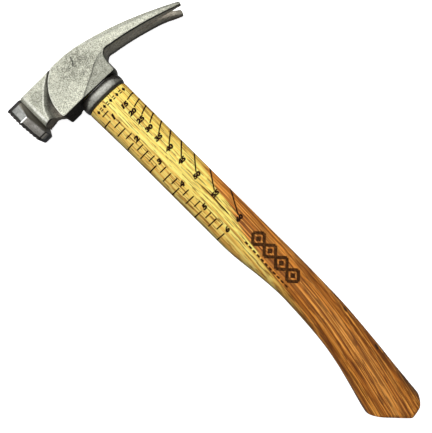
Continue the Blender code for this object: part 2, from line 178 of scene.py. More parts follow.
# ------------------------------------------------------------------ materials
class Graph:
    """Small helper that builds a node tree."""

    def __init__(self, name):
        self.mat = bpy.data.materials.new(name)
        self.mat.use_nodes = True
        self.tree = self.mat.node_tree
        self.bsdf = self.tree.nodes["Principled BSDF"]
        self.out = self.tree.nodes["Material Output"]

    def node(self, kind, inputs=None, **props):
        nd = self.tree.nodes.new(kind)
        for key, value in props.items():
            setattr(nd, key, value)
        for key, value in (inputs or {}).items():
            self.put(nd.inputs[key], value)
        return nd

    def put(self, socket, value):
        if isinstance(value, bpy.types.NodeSocket):
            self.tree.links.new(value, socket)
        else:
            socket.default_value = value

    def math(self, op, a, b=0.0, c=None, clamp=False):
        nd = self.node("ShaderNodeMath", operation=op, use_clamp=clamp)
        self.put(nd.inputs[0], a)
        self.put(nd.inputs[1], b)
        if c is not None:
            self.put(nd.inputs[2], c)
        return nd.outputs[0]

    def coords(self):
        """x, y, z of the surface point in datum millimetres."""
        tc = self.node("ShaderNodeTexCoord")
        sc = self.node("ShaderNodeVectorMath", operation="MULTIPLY_ADD")
        self.put(sc.inputs[0], tc.outputs["Object"])
        sc.inputs[1].default_value = (1000.0, 1000.0, 1000.0)
        sc.inputs[2].default_value = (-OX, -OY, 0.0)
        sep = self.node("ShaderNodeSeparateXYZ", {0: sc.outputs[0]})
        return sc.outputs[0], sep.outputs[0], sep.outputs[1], sep.outputs[2]

    def vec(self, x, y, z):
        return self.node("ShaderNodeCombineXYZ", {0: x, 1: y, 2: z}).outputs[0]

    def scaled(self, v, s, offset=(0.0, 0.0, 0.0)):
        nd = self.node("ShaderNodeVectorMath", operation="MULTIPLY_ADD")
        self.put(nd.inputs[0], v)
        nd.inputs[1].default_value = s
        nd.inputs[2].default_value = offset
        return nd.outputs[0]

    def noise(self, v, scale=1.0, detail=3.0, rough=0.5, distortion=0.0):
        return self.node("ShaderNodeTexNoise", {
            "Vector": v, "Scale": scale, "Detail": detail, "Roughness": rough,
            "Distortion": distortion}).outputs["Fac"]

    def span(self, value, lo, hi, to_lo=0.0, to_hi=1.0, smooth=True):
        nd = self.node("ShaderNodeMapRange", {
            "Value": value, "From Min": lo, "From Max": hi,
            "To Min": to_lo, "To Max": to_hi})
        nd.interpolation_type = "SMOOTHSTEP" if smooth else "LINEAR"
        nd.clamp = True
        return nd.outputs["Result"]

    def ramp(self, value, stops, interpolation="LINEAR"):
        nd = self.node("ShaderNodeValToRGB", {"Fac": value})
        cr = nd.color_ramp
        cr.interpolation = interpolation
        while len(cr.elements) > 1:
            cr.elements.remove(cr.elements[-1])
        cr.elements[0].position = stops[0][0]
        cr.elements[0].color = (*stops[0][1], 1.0)
        for pos, col in stops[1:]:
            el = cr.elements.new(pos)
            el.color = (*col, 1.0)
        return nd.outputs["Color"]

    def mix(self, fac, a, b, blend="MIX"):
        nd = self.node("ShaderNodeMix", data_type="RGBA", blend_type=blend)
        self.put(nd.inputs["Factor"], fac)
        self.put(nd.inputs[6], a if isinstance(a, bpy.types.NodeSocket) else (*a, 1.0))
        self.put(nd.inputs[7], b if isinstance(b, bpy.types.NodeSocket) else (*b, 1.0))
        return nd.outputs[2]

    def bump(self, height, strength, distance, normal=None):
        nd = self.node("ShaderNodeBump", {
            "Height": height, "Strength": strength, "Distance": distance})
        if normal is not None:
            self.put(nd.inputs["Normal"], normal)
        return nd.outputs["Normal"]

    def finish(self, colour, rough, metallic, normal=None, **sockets):
        self.put(self.bsdf.inputs["Base Color"], colour)
        self.put(self.bsdf.inputs["Roughness"], rough)
        self.put(self.bsdf.inputs["Metallic"], metallic)
        if normal is not None:
            self.put(self.bsdf.inputs["Normal"], normal)
        for key, value in sockets.items():
            self.bsdf.inputs[key.replace("_", " ")].default_value = value
        return self.mat


def cast_metal():
    g = Graph("cast_metal")
    v, x, y, z = g.coords()
    fine = g.noise(v, 1.25, 5.0, 0.66)
    mid = g.noise(v, 0.40, 4.0, 0.6, 0.3)
    broad = g.noise(v, 0.075, 3.0, 0.55)
    tone = g.math("ADD", g.math("MULTIPLY", fine, 0.74), g.math("MULTIPLY", mid, 0.15))
    tone = g.math("ADD", tone, g.math("MULTIPLY", broad, 0.11))
    # darker handling patch on the middle of the cheeks
    dx = g.math("MULTIPLY", g.math("SUBTRACT", x, 33.5), 0.075)
    dy = g.math("MULTIPLY", g.math("SUBTRACT", y, -2.5), 0.060)
    rr = g.math("ADD", g.math("MULTIPLY", dx, dx), g.math("MULTIPLY", dy, dy))
    patch = g.span(rr, 0.0, 1.6, 1.0, 0.0)
    patch = g.math("MULTIPLY", patch, g.span(g.noise(v, 0.22, 4.0, 0.7), 0.35, 0.60))
    tone = g.math("SUBTRACT", tone, g.math("MULTIPLY", patch, 0.075))
    colour = g.ramp(tone, [(0.35, (0.13, 0.13, 0.105)), (0.43, (0.34, 0.342, 0.275)),
                           (0.50, (0.545, 0.55, 0.45)), (0.57, (0.72, 0.725, 0.605)),
                           (0.65, (0.86, 0.86, 0.75))])
    dense = g.math("ADD", g.math("MULTIPLY", patch, 0.05), g.noise(v, 0.85, 3.0, 0.75))
    specks = g.span(g.math("SUBTRACT", dense, g.math("MULTIPLY", patch, 0.10)),
                    0.34, 0.41, 0.68, 0.0)
    colour = g.mix(specks, colour, (0.16, 0.158, 0.13))
    # worn rims: bright wear that also stands for painted highlight
    wear_and_highlight = g.node("ShaderNodeAttribute", attribute_name="wear_and_highlight").outputs["Fac"]
    wear_and_highlight = g.math("MULTIPLY", wear_and_highlight, g.span(mid, 0.30, 0.62, 0.35, 0.95))
    colour = g.mix(wear_and_highlight, colour, (0.94, 0.94, 0.86))
    factor = g.node("ShaderNodeAttribute", attribute_name="tone").outputs["Fac"]
    colour = g.mix(1.0, colour, g.vec(factor, factor, factor), "MULTIPLY")
    # paler sharp edges: painted highlight along edges, standing also for wear
    geo = g.node("ShaderNodeNewGeometry")
    edge = g.span(geo.outputs["Pointiness"], 0.53, 0.60, 0.0, 0.35)
    colour = g.mix(edge, colour, (0.80, 0.80, 0.72))
    # painted shade: the per-vertex shade mask swaps the colour for the dark colour below
    painted_shade = g.node("ShaderNodeAttribute", attribute_name="painted_shade").outputs["Fac"]
    dark = g.ramp(g.math("ADD", g.math("MULTIPLY", mid, 0.6), g.math("MULTIPLY", fine, 0.4)),
                  [(0.36, (0.060, 0.050, 0.038)), (0.5, (0.120, 0.106, 0.084)),
                   (0.66, (0.21, 0.19, 0.155))])
    # strength of the painted shade: lighter across the middle of the throat wall and the claws'
    # undersides and towards the claw tips, darkest at their rims and on the cheek's end walls
    from_mid = g.math("ABSOLUTE", g.math("SUBTRACT", z, 13.5))
    band = g.math("MULTIPLY", g.span(y, 32.0, 36.0, 0.0, 1.6),
                  g.span(from_mid, 5.5, 10.5, 1.0, 0.16))
    claw = g.math("MULTIPLY", g.span(y, -27.0, -19.0, 1.0, 0.0),
                  g.math("MULTIPLY", g.span(z, 21.0, 24.6, 3.6, 0.16),
                         g.span(z, 0.5, 13.0, 0.06, 1.0)))
    claw = g.math("ADD", claw, g.span(y, -92.0, -74.0, 0.6, 0.0))
    depth_tone = g.math("ADD", g.math("ADD", claw, g.span(y, -27.0, -19.0, 0.0, 0.22)), band)
    dark = g.mix(1.0, dark, g.vec(depth_tone, depth_tone, depth_tone), "MULTIPLY")
    colour = g.mix(painted_shade, colour, dark)
    pits = g.span(g.noise(v, 2.3, 2.0, 0.5), 0.30, 0.36, 0.0, 1.0)
    height = g.math("ADD", g.math("MULTIPLY", mid, 0.8), g.math("MULTIPLY", fine, 0.9))
    height = g.math("ADD", height, g.math("MULTIPLY", pits, 0.25))
    normal = g.bump(height, 0.6, 0.00030)
    rough = g.math("ADD", g.span(tone, 0.36, 0.64, 0.66, 0.48),
                   g.math("MULTIPLY", painted_shade, 0.18))
    metallic = g.span(painted_shade, 0.0, 1.0, 0.35, 0.05, False)
    g.put(g.bsdf.inputs["Specular IOR Level"], g.span(painted_shade, 0.0, 1.0, 0.35, 0.10, False))
    return g.finish(colour, rough, metallic, normal)


def face_steel():
    g = Graph("face_steel")
    v, x, y, z = g.coords()
    brushed = g.noise(g.scaled(v, (0.25, 2.6, 2.6)), 1.0, 4.0, 0.6)
    mid = g.noise(v, 0.28, 4.0, 0.6)
    fine = g.noise(v, 1.6, 3.0, 0.6)
    tone = g.math("ADD", g.math("MULTIPLY", brushed, 0.35), g.math("MULTIPLY", mid, 0.4))
    tone = g.math("ADD", tone, g.math("MULTIPLY", fine, 0.25))
    colour = g.ramp(tone, [(0.36, (0.115, 0.105, 0.092)), (0.5, (0.215, 0.205, 0.185)),
                           (0.64, (0.36, 0.35, 0.325))])
    # the half above the ridge is painted lighter and greyer than the browner half below it: painted
    # light on the facet that faces the key light
    lit_upper_half = g.span(x, 31.6, 32.4, 0.0, 1.0)
    lit_upper_colour = g.ramp(tone, [(0.36, (0.14, 0.145, 0.14)), (0.5, (0.225, 0.23, 0.22)),
                          (0.64, (0.34, 0.345, 0.33))])
    colour = g.mix(lit_upper_half, colour, lit_upper_colour)
    # brown relief behind the cap, with painted shade deepening into its groove; painted light on the
    # upper part of the foot below
    behind = g.span(g.math("ADD", y, g.math("MULTIPLY", g.math("ABSOLUTE",
                                                             g.math("SUBTRACT", x, 32.0)), 0.14)),
                    54.2, 55.4, 1.0, 0.0)
    hollow_shade = g.ramp(g.span(y, 50.0, 54.6, 0.0, 1.0, False),
                    [(0.0, (0.19, 0.175, 0.135)), (0.55, (0.135, 0.120, 0.090)),
                     (1.0, (0.070, 0.062, 0.046))])
    colour = g.mix(g.math("MULTIPLY", behind, 0.85), colour, hollow_shade)
    foot = g.math("MULTIPLY", g.span(x, 13.5, 13.8, 1.0, 0.0),
                  g.span(z, 16.5, 21.0, -0.5, 0.75))
    colour = g.mix(g.math("MAXIMUM", foot, 0.0), colour, (0.72, 0.67, 0.57))
    # painted shade on the lower part of the foot
    shade = g.math("MULTIPLY", g.span(x, 13.5, 13.8, 1.0, 0.0), g.span(z, 13.0, 17.0, 0.93, 0.0))
    colour = g.mix(shade, colour, (0.018, 0.016, 0.014))
    # near black over the milled face and the rim beside it: painted shade of the milled teeth; a
    # painted shade line in the groove at the foot; the crown edge is darkened too
    bow = g.math("SUBTRACT", x, 38.0)
    bow = g.math("MULTIPLY", g.math("MULTIPLY", bow, bow), 0.0022)
    jag = g.math("MULTIPLY", g.math("SUBTRACT", mid, 0.5), 2.4)
    rim = g.span(g.math("ADD", g.math("ADD", y, bow), jag), 60.35, 60.75, 0.0, 0.97)
    rim = g.math("MAXIMUM", rim, g.span(g.math("ADD", x, g.math("MULTIPLY", jag, 0.5)),
                                        43.8, 44.3, 0.0, 0.93))
    groove = g.span(g.math("ABSOLUTE", g.math("SUBTRACT", x, 14.0)), 0.30, 0.65, 0.88, 0.0)
    rim = g.math("MAXIMUM", rim, groove)
    colour = g.mix(rim, colour, (0.022, 0.020, 0.018))
    normal = g.bump(g.math("ADD", fine, brushed), 0.35, 0.00018)
    rough = g.span(tone, 0.38, 0.62, 0.55, 0.38)
    return g.finish(colour, rough, 0.8, normal)


def bright_steel():
    # near-white steel of the ridge strips: painted highlight, standing also for polished wear
    g = Graph("highlight_edge_steel")
    v, x, y, z = g.coords()
    scratch = g.noise(g.scaled(v, (0.3, 5.0, 5.0)), 1.0, 4.0, 0.6)
    colour = g.ramp(scratch, [(0.3, (0.80, 0.80, 0.78)), (0.6, (0.97, 0.97, 0.96))])
    rough = g.span(scratch, 0.3, 0.7, 0.42, 0.30)
    return g.finish(colour, rough, 0.6, g.bump(scratch, 0.15, 0.00008))


def wedge_steel(name, base, rough_lo, rough_hi):
    g = Graph(name)
    v, x, y, z = g.coords()
    mid = g.noise(v, 0.7, 4.0, 0.6)
    scratch = g.noise(g.scaled(v, (1.0, 1.2, 6.0)), 1.0, 3.0, 0.6)
    tone = g.math("ADD", g.math("MULTIPLY", mid, 0.5), g.math("MULTIPLY", scratch, 0.5))
    lo = tuple(c * 0.45 for c in base)
    hi = tuple(min(1.0, c * 1.45) for c in base)
    colour = g.ramp(tone, [(0.36, lo), (0.5, base), (0.64, hi)])
    rust = g.span(g.noise(v, 0.9, 4.0, 0.65), 0.56, 0.68, 0.0, 0.55)
    colour = g.mix(rust, colour, (0.11, 0.048, 0.020))
    rough = g.span(tone, 0.38, 0.62, rough_hi, rough_lo)
    return g.finish(colour, rough, 0.85, g.bump(tone, 0.4, 0.00015))


def sleeve_rubber():
    g = Graph("sleeve_rubber")
    v, x, y, z = g.coords()
    fine = g.noise(v, 2.4, 3.0, 0.6)
    mid = g.noise(v, 0.45, 4.0, 0.6, 0.4)
    broad = g.noise(g.scaled(v, (0.16, 0.09, 0.09)), 1.0, 3.0, 0.5)
    tone = g.math("ADD", g.math("MULTIPLY", fine, 0.12), g.math("MULTIPLY", mid, 0.36))
    tone = g.math("ADD", tone, g.math("MULTIPLY", broad, 0.52))
    colour = g.ramp(tone, [(0.38, (0.135, 0.13, 0.108)), (0.5, (0.265, 0.262, 0.222)),
                           (0.62, (0.44, 0.44, 0.375))])
    # painted shade on the sides of the band, where it rounds away from the light
    ends = g.math("MAXIMUM", g.span(y, 12.5, 18.3, 0.0, 0.93), g.span(y, -19.5, -8.0, 0.70, 0.0))
    colour = g.mix(ends, colour, (0.045, 0.040, 0.034))
    # painted shade at both ends of the band: a dark line against the wood and the cheek's shadow,
    # widening towards the sides
    widen = g.span(g.math("ABSOLUTE", g.math("ADD", y, 1.0)), 7.0, 19.5, 0.0, 4.2)
    sleeve_shade = g.math("MAXIMUM", g.span(x, 2.2, 3.5, 0.98, 0.0),
                   g.span(g.math("ADD", x, widen), 7.6, 9.8, 0.0, 0.95))
    colour = g.mix(sleeve_shade, colour, (0.012, 0.010, 0.008))
    rough = g.span(mid, 0.35, 0.65, 0.24, 0.38)
    normal = g.bump(g.math("ADD", fine, mid), 0.35, 0.00015)
    return g.finish(colour, rough, 0.0, normal, Specular_IOR_Level=0.75)


def hickory():
    g = Graph("hickory")
    v, x, y, z = g.coords()
    # the grain runs along the handle and swings with the flare of the grip
    past = g.math("MAXIMUM", g.math("SUBTRACT", -130.0, x), 0.0)
    bend = g.math("MULTIPLY", g.math("MULTIPLY", past, past), 0.0006)
    wob = g.math("SUBTRACT", g.noise(g.vec(g.math("MULTIPLY", x, 0.010), 0.0, 0.0), 1.0, 2.0), 0.5)
    ys = g.math("ADD", g.math("SUBTRACT", y, bend), g.math("MULTIPLY", wob, 2.6))
    warp = g.noise(g.vec(g.math("MULTIPLY", x, 0.0065), g.math("MULTIPLY", ys, 0.050),
                         g.math("MULTIPLY", z, 0.050)), 1.0, 2.0, 0.5)
    uneven = g.noise(g.vec(g.math("MULTIPLY", ys, 0.16), g.math("MULTIPLY", x, 0.004), 7.0),
                     1.0, 2.0, 0.5)
    phase = g.math("ADD", g.math("MULTIPLY", ys, 0.33), g.math("MULTIPLY", warp, 1.8))
    phase = g.math("ADD", phase, g.math("MULTIPLY", uneven, 3.2))
    phase = g.math("ADD", g.math("ADD", phase, g.math("MULTIPLY", z, 0.085)), 40.0)
    saw = g.math("FRACT", phase)
    line = g.ramp(saw, [(0.0, (0.0,) * 3), (0.12, (0.10,) * 3), (0.26, (0.62,) * 3),
                        (0.78, (1.0,) * 3), (0.90, (0.60,) * 3), (1.0, (0.0,) * 3)])
    ring_tone = g.node("ShaderNodeSeparateColor", {0: line}).outputs[0]
    # each ring has its own strength
    ring_id = g.noise(g.vec(g.math("MULTIPLY", g.math("FLOOR", phase), 0.73), 0.0,
                            g.math("MULTIPLY", x, 0.005)), 1.0, 2.0)
    streak = g.noise(g.vec(g.math("MULTIPLY", x, 0.007), g.math("MULTIPLY", ys, 0.42),
                           g.math("MULTIPLY", z, 0.22)), 1.0, 4.0, 0.62)
    thin = g.noise(g.vec(g.math("MULTIPLY", x, 0.013), g.math("MULTIPLY", ys, 0.62),
                         g.math("MULTIPLY", z, 0.34)), 1.0, 3.0, 0.60)
    thin_lines = g.span(thin, 0.530, 0.565, 0.0, 1.0)
    dash = g.noise(g.vec(g.math("MULTIPLY", x, 0.066), g.math("MULTIPLY", ys, 0.95),
                         g.math("MULTIPLY", z, 0.55)), 1.0, 2.0, 0.5)
    dashes = g.span(dash, 0.565, 0.605, 0.0, 1.0)
    fibre = g.noise(g.vec(g.math("MULTIPLY", x, 0.050), g.math("MULTIPLY", ys, 2.3),
                          g.math("MULTIPLY", z, 1.6)), 1.0, 3.0, 0.6)
    pore = g.noise(g.vec(g.math("MULTIPLY", x, 0.13), g.math("MULTIPLY", ys, 4.2),
                         g.math("MULTIPLY", z, 3.4)), 1.0, 2.0, 0.5)
    pores = g.span(pore, 0.60, 0.70, 0.0, 1.0)

    # pale sapwood against red-brown heartwood
    flame = g.noise(g.vec(g.math("MULTIPLY", x, 0.014), g.math("MULTIPLY", ys, 0.36),
                          g.math("MULTIPLY", z, 0.20)), 1.0, 3.0, 0.6)
    bound = g.math("ADD", g.span(x, -165.0, -90.0, 18.9, 0.0, False),
                   g.span(x, -290.0, -165.0, 16.5, 0.0, False))
    bound = g.math("ADD", bound, g.span(x, -90.0, 0.0, -19.8, -29.0, False))
    bound = g.math("ADD", bound, g.span(x, -300.0, -258.0, 32.0, 0.0, False))
    side = g.math("SUBTRACT", y, bound)
    side = g.math("ADD", side, g.math("MULTIPLY", g.math("SUBTRACT", z, 26.0), 0.16))
    side = g.math("ADD", side, g.math("MULTIPLY", g.math("SUBTRACT", flame, 0.5), 17.0))
    heart = g.span(side, -1.4, 1.0, 1.0, 0.0)

    sap_tone = g.math("ADD", g.math("MULTIPLY", ring_tone, 0.20),
                      g.math("MULTIPLY", streak, 0.55))
    sap_tone = g.math("ADD", sap_tone, g.math("MULTIPLY", fibre, 0.25))
    sap = g.ramp(sap_tone, [(0.34, (0.74, 0.43, 0.075)), (0.42, (0.93, 0.60, 0.110)),
                            (0.52, (1.0, 0.78, 0.150)), (0.64, (1.0, 0.92, 0.24))])
    broken = g.span(g.noise(g.vec(g.math("MULTIPLY", x, 0.035), g.math("MULTIPLY", ys, 0.45),
                                  g.math("MULTIPLY", z, 0.25)), 1.0, 2.0, 0.5),
                    0.46, 0.60, 0.05, 0.62)
    sap = g.mix(g.math("MULTIPLY", thin_lines, broken), sap, (0.53, 0.275, 0.042))
    sap = g.mix(g.math("MULTIPLY", dashes, 0.85), sap, (0.29, 0.130, 0.018))
    weight = g.math("MULTIPLY", ring_tone, g.span(ring_id, 0.35, 0.65, 0.36, 0.66))
    heart_tone = g.math("ADD", weight, g.math("MULTIPLY", streak, 0.34))
    heart_tone = g.math("ADD", heart_tone, g.math("MULTIPLY", fibre, 0.20))
    hrt = g.ramp(heart_tone, [(0.26, (0.110, 0.028, 0.004)), (0.42, (0.30, 0.090, 0.011)),
                              (0.58, (0.48, 0.155, 0.019)), (0.74, (0.70, 0.262, 0.037)),
                              (0.90, (0.88, 0.40, 0.072))])
    lift = g.span(x, -250.0, -205.0, 1.16, 1.36)
    hrt = g.mix(1.0, hrt, g.vec(lift, lift, lift), "MULTIPLY")
    glow = g.span(g.noise(g.vec(g.math("MULTIPLY", x, 0.011), g.math("MULTIPLY", ys, 0.78),
                                g.math("MULTIPLY", z, 0.36)), 1.0, 3.0, 0.6), 0.535, 0.575, 0.0, 0.62)
    hrt = g.mix(glow, hrt, (0.93, 0.41, 0.082))
    hair = g.noise(g.vec(g.math("MULTIPLY", x, 0.007), g.math("MULTIPLY", ys, 0.98),
                         g.math("MULTIPLY", z, 0.50)), 1.0, 2.0, 0.5)
    hrt = g.mix(g.span(hair, 0.54, 0.58, 0.0, 0.62), hrt, (0.20, 0.058, 0.007))
    hair = g.noise(g.vec(g.math("MULTIPLY", x, 0.006), g.math("MULTIPLY", ys, 1.55),
                         g.math("MULTIPLY", z, 0.72)), 1.0, 2.0, 0.5)
    hrt = g.mix(g.span(hair, 0.53, 0.58, 0.0, 0.55), hrt, (0.24, 0.070, 0.009))
    hrt = g.mix(g.math("MULTIPLY", thin_lines, 0.60), hrt, (0.13, 0.036, 0.004))
    hrt = g.mix(g.math("MULTIPLY", dashes, 0.60), hrt, (0.10, 0.028, 0.004))
    colour = g.mix(heart, sap, hrt)
    colour = g.mix(g.math("MULTIPLY", pores, 0.34), colour, (0.15, 0.050, 0.010))

    # shaded, darker rounds of the handle
    across = g.node("ShaderNodeAttribute", attribute_name="across").outputs["Fac"]
    across = g.math("ADD", across, g.math("MULTIPLY", g.math("SUBTRACT", streak, 0.5), 0.12))
    shade_sap = g.ramp(g.span(across, -1.0, 1.0, 0.0, 1.0, False),
                       [(0.0, (0.52, 0.40, 0.36)), (0.045, (0.90, 0.76, 0.70)),
                        (0.11, (1.0, 0.90, 0.88)), (0.21, (1.0, 1.0, 1.0)),
                        (0.55, (1.0, 1.0, 1.0)), (0.66, (0.95, 0.89, 0.90)),
                        (0.82, (0.92, 0.79, 0.84)), (0.93, (0.84, 0.72, 0.80)),
                        (0.97, (0.56, 0.50, 0.62)), (1.0, (0.38, 0.34, 0.44))])
    shade_heart = g.ramp(g.span(across, -1.0, 1.0, 0.0, 1.0, False),
                         [(0.0, (0.80, 0.84, 0.90)), (0.05, (1.0, 1.0, 1.0)),
                          (0.95, (1.0, 1.0, 1.0)), (1.0, (0.80, 0.84, 0.90))])
    shade = g.mix(heart, shade_sap, shade_heart)
    colour = g.mix(1.0, colour, shade, "MULTIPLY")

    # the heartwood's upper edge is paler above the grip
    pale = g.math("MULTIPLY", g.span(across, -1.0, -0.50, 0.50, 0.0),
                  g.math("MULTIPLY", heart, g.span(x, -178.0, -155.0, 0.0, 1.0)))
    pale = g.math("ADD", pale, 1.0)
    colour = g.mix(1.0, colour, g.vec(pale, pale, pale), "MULTIPLY")

    # painted shade along the claw-side edge near the butt
    butt_edge_shade = g.math("MULTIPLY", g.span(across, -1.0, -0.70, 0.75, 0.0),
                   g.span(x, -326.0, -308.0, 1.0, 0.0))
    colour = g.mix(butt_edge_shade, colour, (0.075, 0.035, 0.014))

    # two pin knots on the claw-side edge of the grip
    for kx, ky in KNOTS:
        dx = g.math("MULTIPLY", g.math("SUBTRACT", x, kx), 0.42)
        dy = g.math("MULTIPLY", g.math("SUBTRACT", y, ky), 0.80)
        dx = g.math("ADD", dx, g.math("MULTIPLY", dy, 0.35))
        rr = g.math("ADD", g.math("MULTIPLY", dx, dx), g.math("MULTIPLY", dy, dy))
        knot = g.span(g.math("ADD", rr, g.math("MULTIPLY", g.math("SUBTRACT", fibre, 0.5), 0.8)),
                      0.5, 1.5, 0.85, 0.0)
        colour = g.mix(knot, colour, (0.035, 0.014, 0.005))
    height = g.math("ADD", g.math("MULTIPLY", fibre, 0.6),
                    g.math("MULTIPLY", g.math("SUBTRACT", 1.0, pores), 0.5))
    height = g.math("ADD", height, g.math("MULTIPLY", ring_tone, 0.25))
    normal = g.bump(height, 0.4, 0.00014)
    rough = g.span(streak, 0.3, 0.7, 0.52, 0.36)
    return g.finish(colour, rough, 0.0, normal, Specular_IOR_Level=0.22)


def burnt(name, stops):
    g = Graph(name)
    v, x, y, z = g.coords()
    mid = g.noise(g.scaled(v, (0.4, 1.6, 1.6)), 1.0, 4.0, 0.6)
    fine = g.noise(v, 3.0, 3.0, 0.6)
    tone = g.math("ADD", g.math("MULTIPLY", mid, 0.7), g.math("MULTIPLY", fine, 0.3))
    colour = g.ramp(tone, [(0.36, stops[0]), (0.5, stops[1]), (0.66, stops[2])])
    rough = g.span(tone, 0.35, 0.65, 0.75, 0.58)
    return g.finish(colour, rough, 0.0, g.bump(tone, 0.5, 0.0001),
                    Specular_IOR_Level=0.05)


def wedge_wood():
    g = Graph("wedge_wood")
    v, x, y, z = g.coords()
    grain = g.noise(g.scaled(v, (0.09, 0.5, 2.4)), 1.0, 4.0, 0.6)
    fibre = g.noise(g.scaled(v, (0.4, 3.0, 3.0)), 1.0, 3.0, 0.6)
    tone = g.math("ADD", g.math("MULTIPLY", grain, 0.6), g.math("MULTIPLY", fibre, 0.4))
    colour = g.ramp(tone, [(0.34, (0.16, 0.065, 0.02)), (0.5, (0.36, 0.17, 0.058)),
                           (0.66, (0.56, 0.32, 0.13))])
    rough = g.span(tone, 0.3, 0.7, 0.72, 0.55)
    return g.finish(colour, rough, 0.0, g.bump(tone, 0.5, 0.0002))


# ------------------------------------------------------------------ the head
CROWN_X, POLL_X, CHEEK_X, CHEEK_CLAW_Y = 46.8, 46.1, 11.7, -21.0
CLAW_TIP_Y, CLAW_START_Y, CLAW_ROOT_Y = -94.6, 5.0, -31.0
POLL_END_Y = 50.0
SLOT_Y = (-57.0, -57.7, -74.0, -80.0, -86.0, -90.0, -94.6, -97.6)
SLOT_HALF = (0.0, 0.6, 2.1, 3.1, 4.3, 5.8, 8.0, 9.4)
CHEEK_ARC = (16.2, 0.75, 33.6)
SCOOP_ARC = (-5.7, -5.9, 56.3)
SCOOP_DEPTH, SCOOP_SLOPE = 8.5, 0.85
EYE_Y, EYE_LEN, EYE_WID, FIT = 0.5, 31.0, 20.0, 0.3


def claw_crown(y):
    return CROWN_X - 0.0231 * max(CLAW_START_Y - y, 0.0) ** 1.577


def claw_under(y):
    return claw_crown(y) - 2.9 - 0.147 * (y - CLAW_TIP_Y)


def head_outline():
    crown = smooth_curve([(POLL_X, POLL_END_Y), (POLL_X, 36.0), (POLL_X, 26.0),
                          (CROWN_X, 15.0), (CROWN_X, CLAW_START_Y)], 8)[:-1]
    steps = 60
    claw_top = [(claw_crown(y), y) for y in
                (CLAW_START_Y + (CLAW_TIP_Y - CLAW_START_Y) * k / steps
                 for k in range(steps + 1))]
    steps = 40
    claw_low = [(claw_under(y), y) for y in
                (CLAW_TIP_Y + (CLAW_ROOT_Y - CLAW_TIP_Y) * k / steps
                 for k in range(steps + 1))]
    crotch = smooth_curve([(claw_under(CLAW_ROOT_Y), CLAW_ROOT_Y), (28.6, -27.0),
                           (26.9, -24.0), (23.8, -21.9), (19.0, CHEEK_CLAW_Y + 0.1),
                           (CHEEK_X + 1.0, CHEEK_CLAW_Y)], 10)[1:]
    cheek = [(CHEEK_X, CHEEK_CLAW_Y + 1.0), (CHEEK_X, -8.0), (CHEEK_X, 6.0),
             (CHEEK_X, 20.0), (CHEEK_X - 0.1, 31.6), (CHEEK_X + 0.2, 33.4)]
    throat = smooth_curve([(CHEEK_X + 1.0, 34.0), (14.6, 34.9), (18.4, 37.6),
                           (20.9, 41.6), (21.2, 45.6), (19.8, 48.6),
                           (17.4, POLL_END_Y)], 10)
    return crown + claw_top + claw_low + crotch + cheek + throat


def scoop_cutter(name, side):
    ccx, ccy, cr = CHEEK_ARC
    scx, scy, sr = SCOOP_ARC
    rings = []
    count = 60
    for k in range(count + 1):
        bearing = math.radians(26.5 + (118.0 - 26.5) * k / count)
        ux, uy = math.cos(bearing), math.sin(bearing)
        px, py = ccx - scx, ccy - scy
        dot = px * ux + py * uy
        reach = -dot + math.sqrt(max(dot * dot - (px * px + py * py - sr * sr), 0.0))
        width = max(reach - cr, 0.0)
        width = math.hypot(width, 1.1) + 0.25
        depth = min(SCOOP_SLOPE * width + 0.35, SCOOP_DEPTH)
        section = [(cr, HEAD_T + 2.0), (cr, HEAD_T - depth)]
        for m in range(1, 12):
            s = m / 12
            section.append((cr + width * s, HEAD_T - depth * (1 - s ** 1.7)))
        section.append((cr + width, HEAD_T))
        section.append((cr + width + 0.4, HEAD_T + 2.0))
        rings.append([(ccx + r * ux, ccy + r * uy, z if side > 0 else HEAD_T - z)
                      for r, z in section])
    return loft(name, rings)


def spigot_ring(y, hx, hz):
    c = 1.6
    pts = [(hx - c, hz), (0.0, hz), (-hx + c, hz), (-hx, hz - c),
           (-hx, -hz + c), (-hx + c, -hz), (0.0, -hz), (hx - c, -hz),
           (hx, -hz + c), (hx, hz - c)]
    return [(32.5 + x, y, MID_Z + z) for x, z in pts]


def rod(name, x0, x1, radius, count, y=44.6, chamfer=0.0, mat=None, smooth=None):
    rings = []
    spans = [(x0, radius), (x1, radius)]
    if chamfer:
        spans = [(x0, radius - chamfer), (x0 + chamfer * 0.3, radius - chamfer * 0.3),
                 (x0 + chamfer, radius), (x1 - chamfer, radius),
                 (x1 - chamfer * 0.3, radius - chamfer * 0.3), (x1, radius - chamfer)]
    for x, r in spans:
        rings.append([(x, y + r * math.cos(2 * math.pi * i / count),
                       MID_Z + r * math.sin(2 * math.pi * i / count))
                      for i in range(count)])
    return loft(name, rings, mat, smooth)


def ease(v, lo, hi):
    t = np.clip((v - lo) / (hi - lo), 0.0, 1.0)
    return t * t * (3 - 2 * t)


def crease_distance(d):
    """Distance past the cheek's crease towards its low claw-side corner."""
    path_y = (-40.0, -22.5, -17.0, -11.0, -7.7, -3.3, 0.6, 4.2, 7.5, 13.0)
    path_x = (38.0, 29.0, 27.4, 24.9, 22.7, 20.4, 18.5, 16.6, 14.9, 12.0)
    side = (np.interp(d[:, 1], path_y, path_x) - d[:, 0]) * 0.88
    fade = 1.0 - ease(d[:, 0], 24.5, 30.0) * 0.75
    fade = fade * ease(d[:, 1], -34.0, -25.0)
    return np.maximum(side, 0.0), fade


def claw_strip(d):
    """1 on the strip along the claws' crown edge, 0 elsewhere."""
    y = d[:, 1]
    crown = CROWN_X - 0.0231 * np.maximum(5.0 - y, 0.0) ** 1.577
    down = crown - d[:, 0]
    wide = np.interp(y, [-94.0, -60.0, -30.0, -12.0], [1.4, 3.2, 4.6, 1.0])
    value = 1.0 - ease(down, wide - 0.9, wide + 0.3)
    return value * (1.0 - ease(y, -26.0, -10.0))


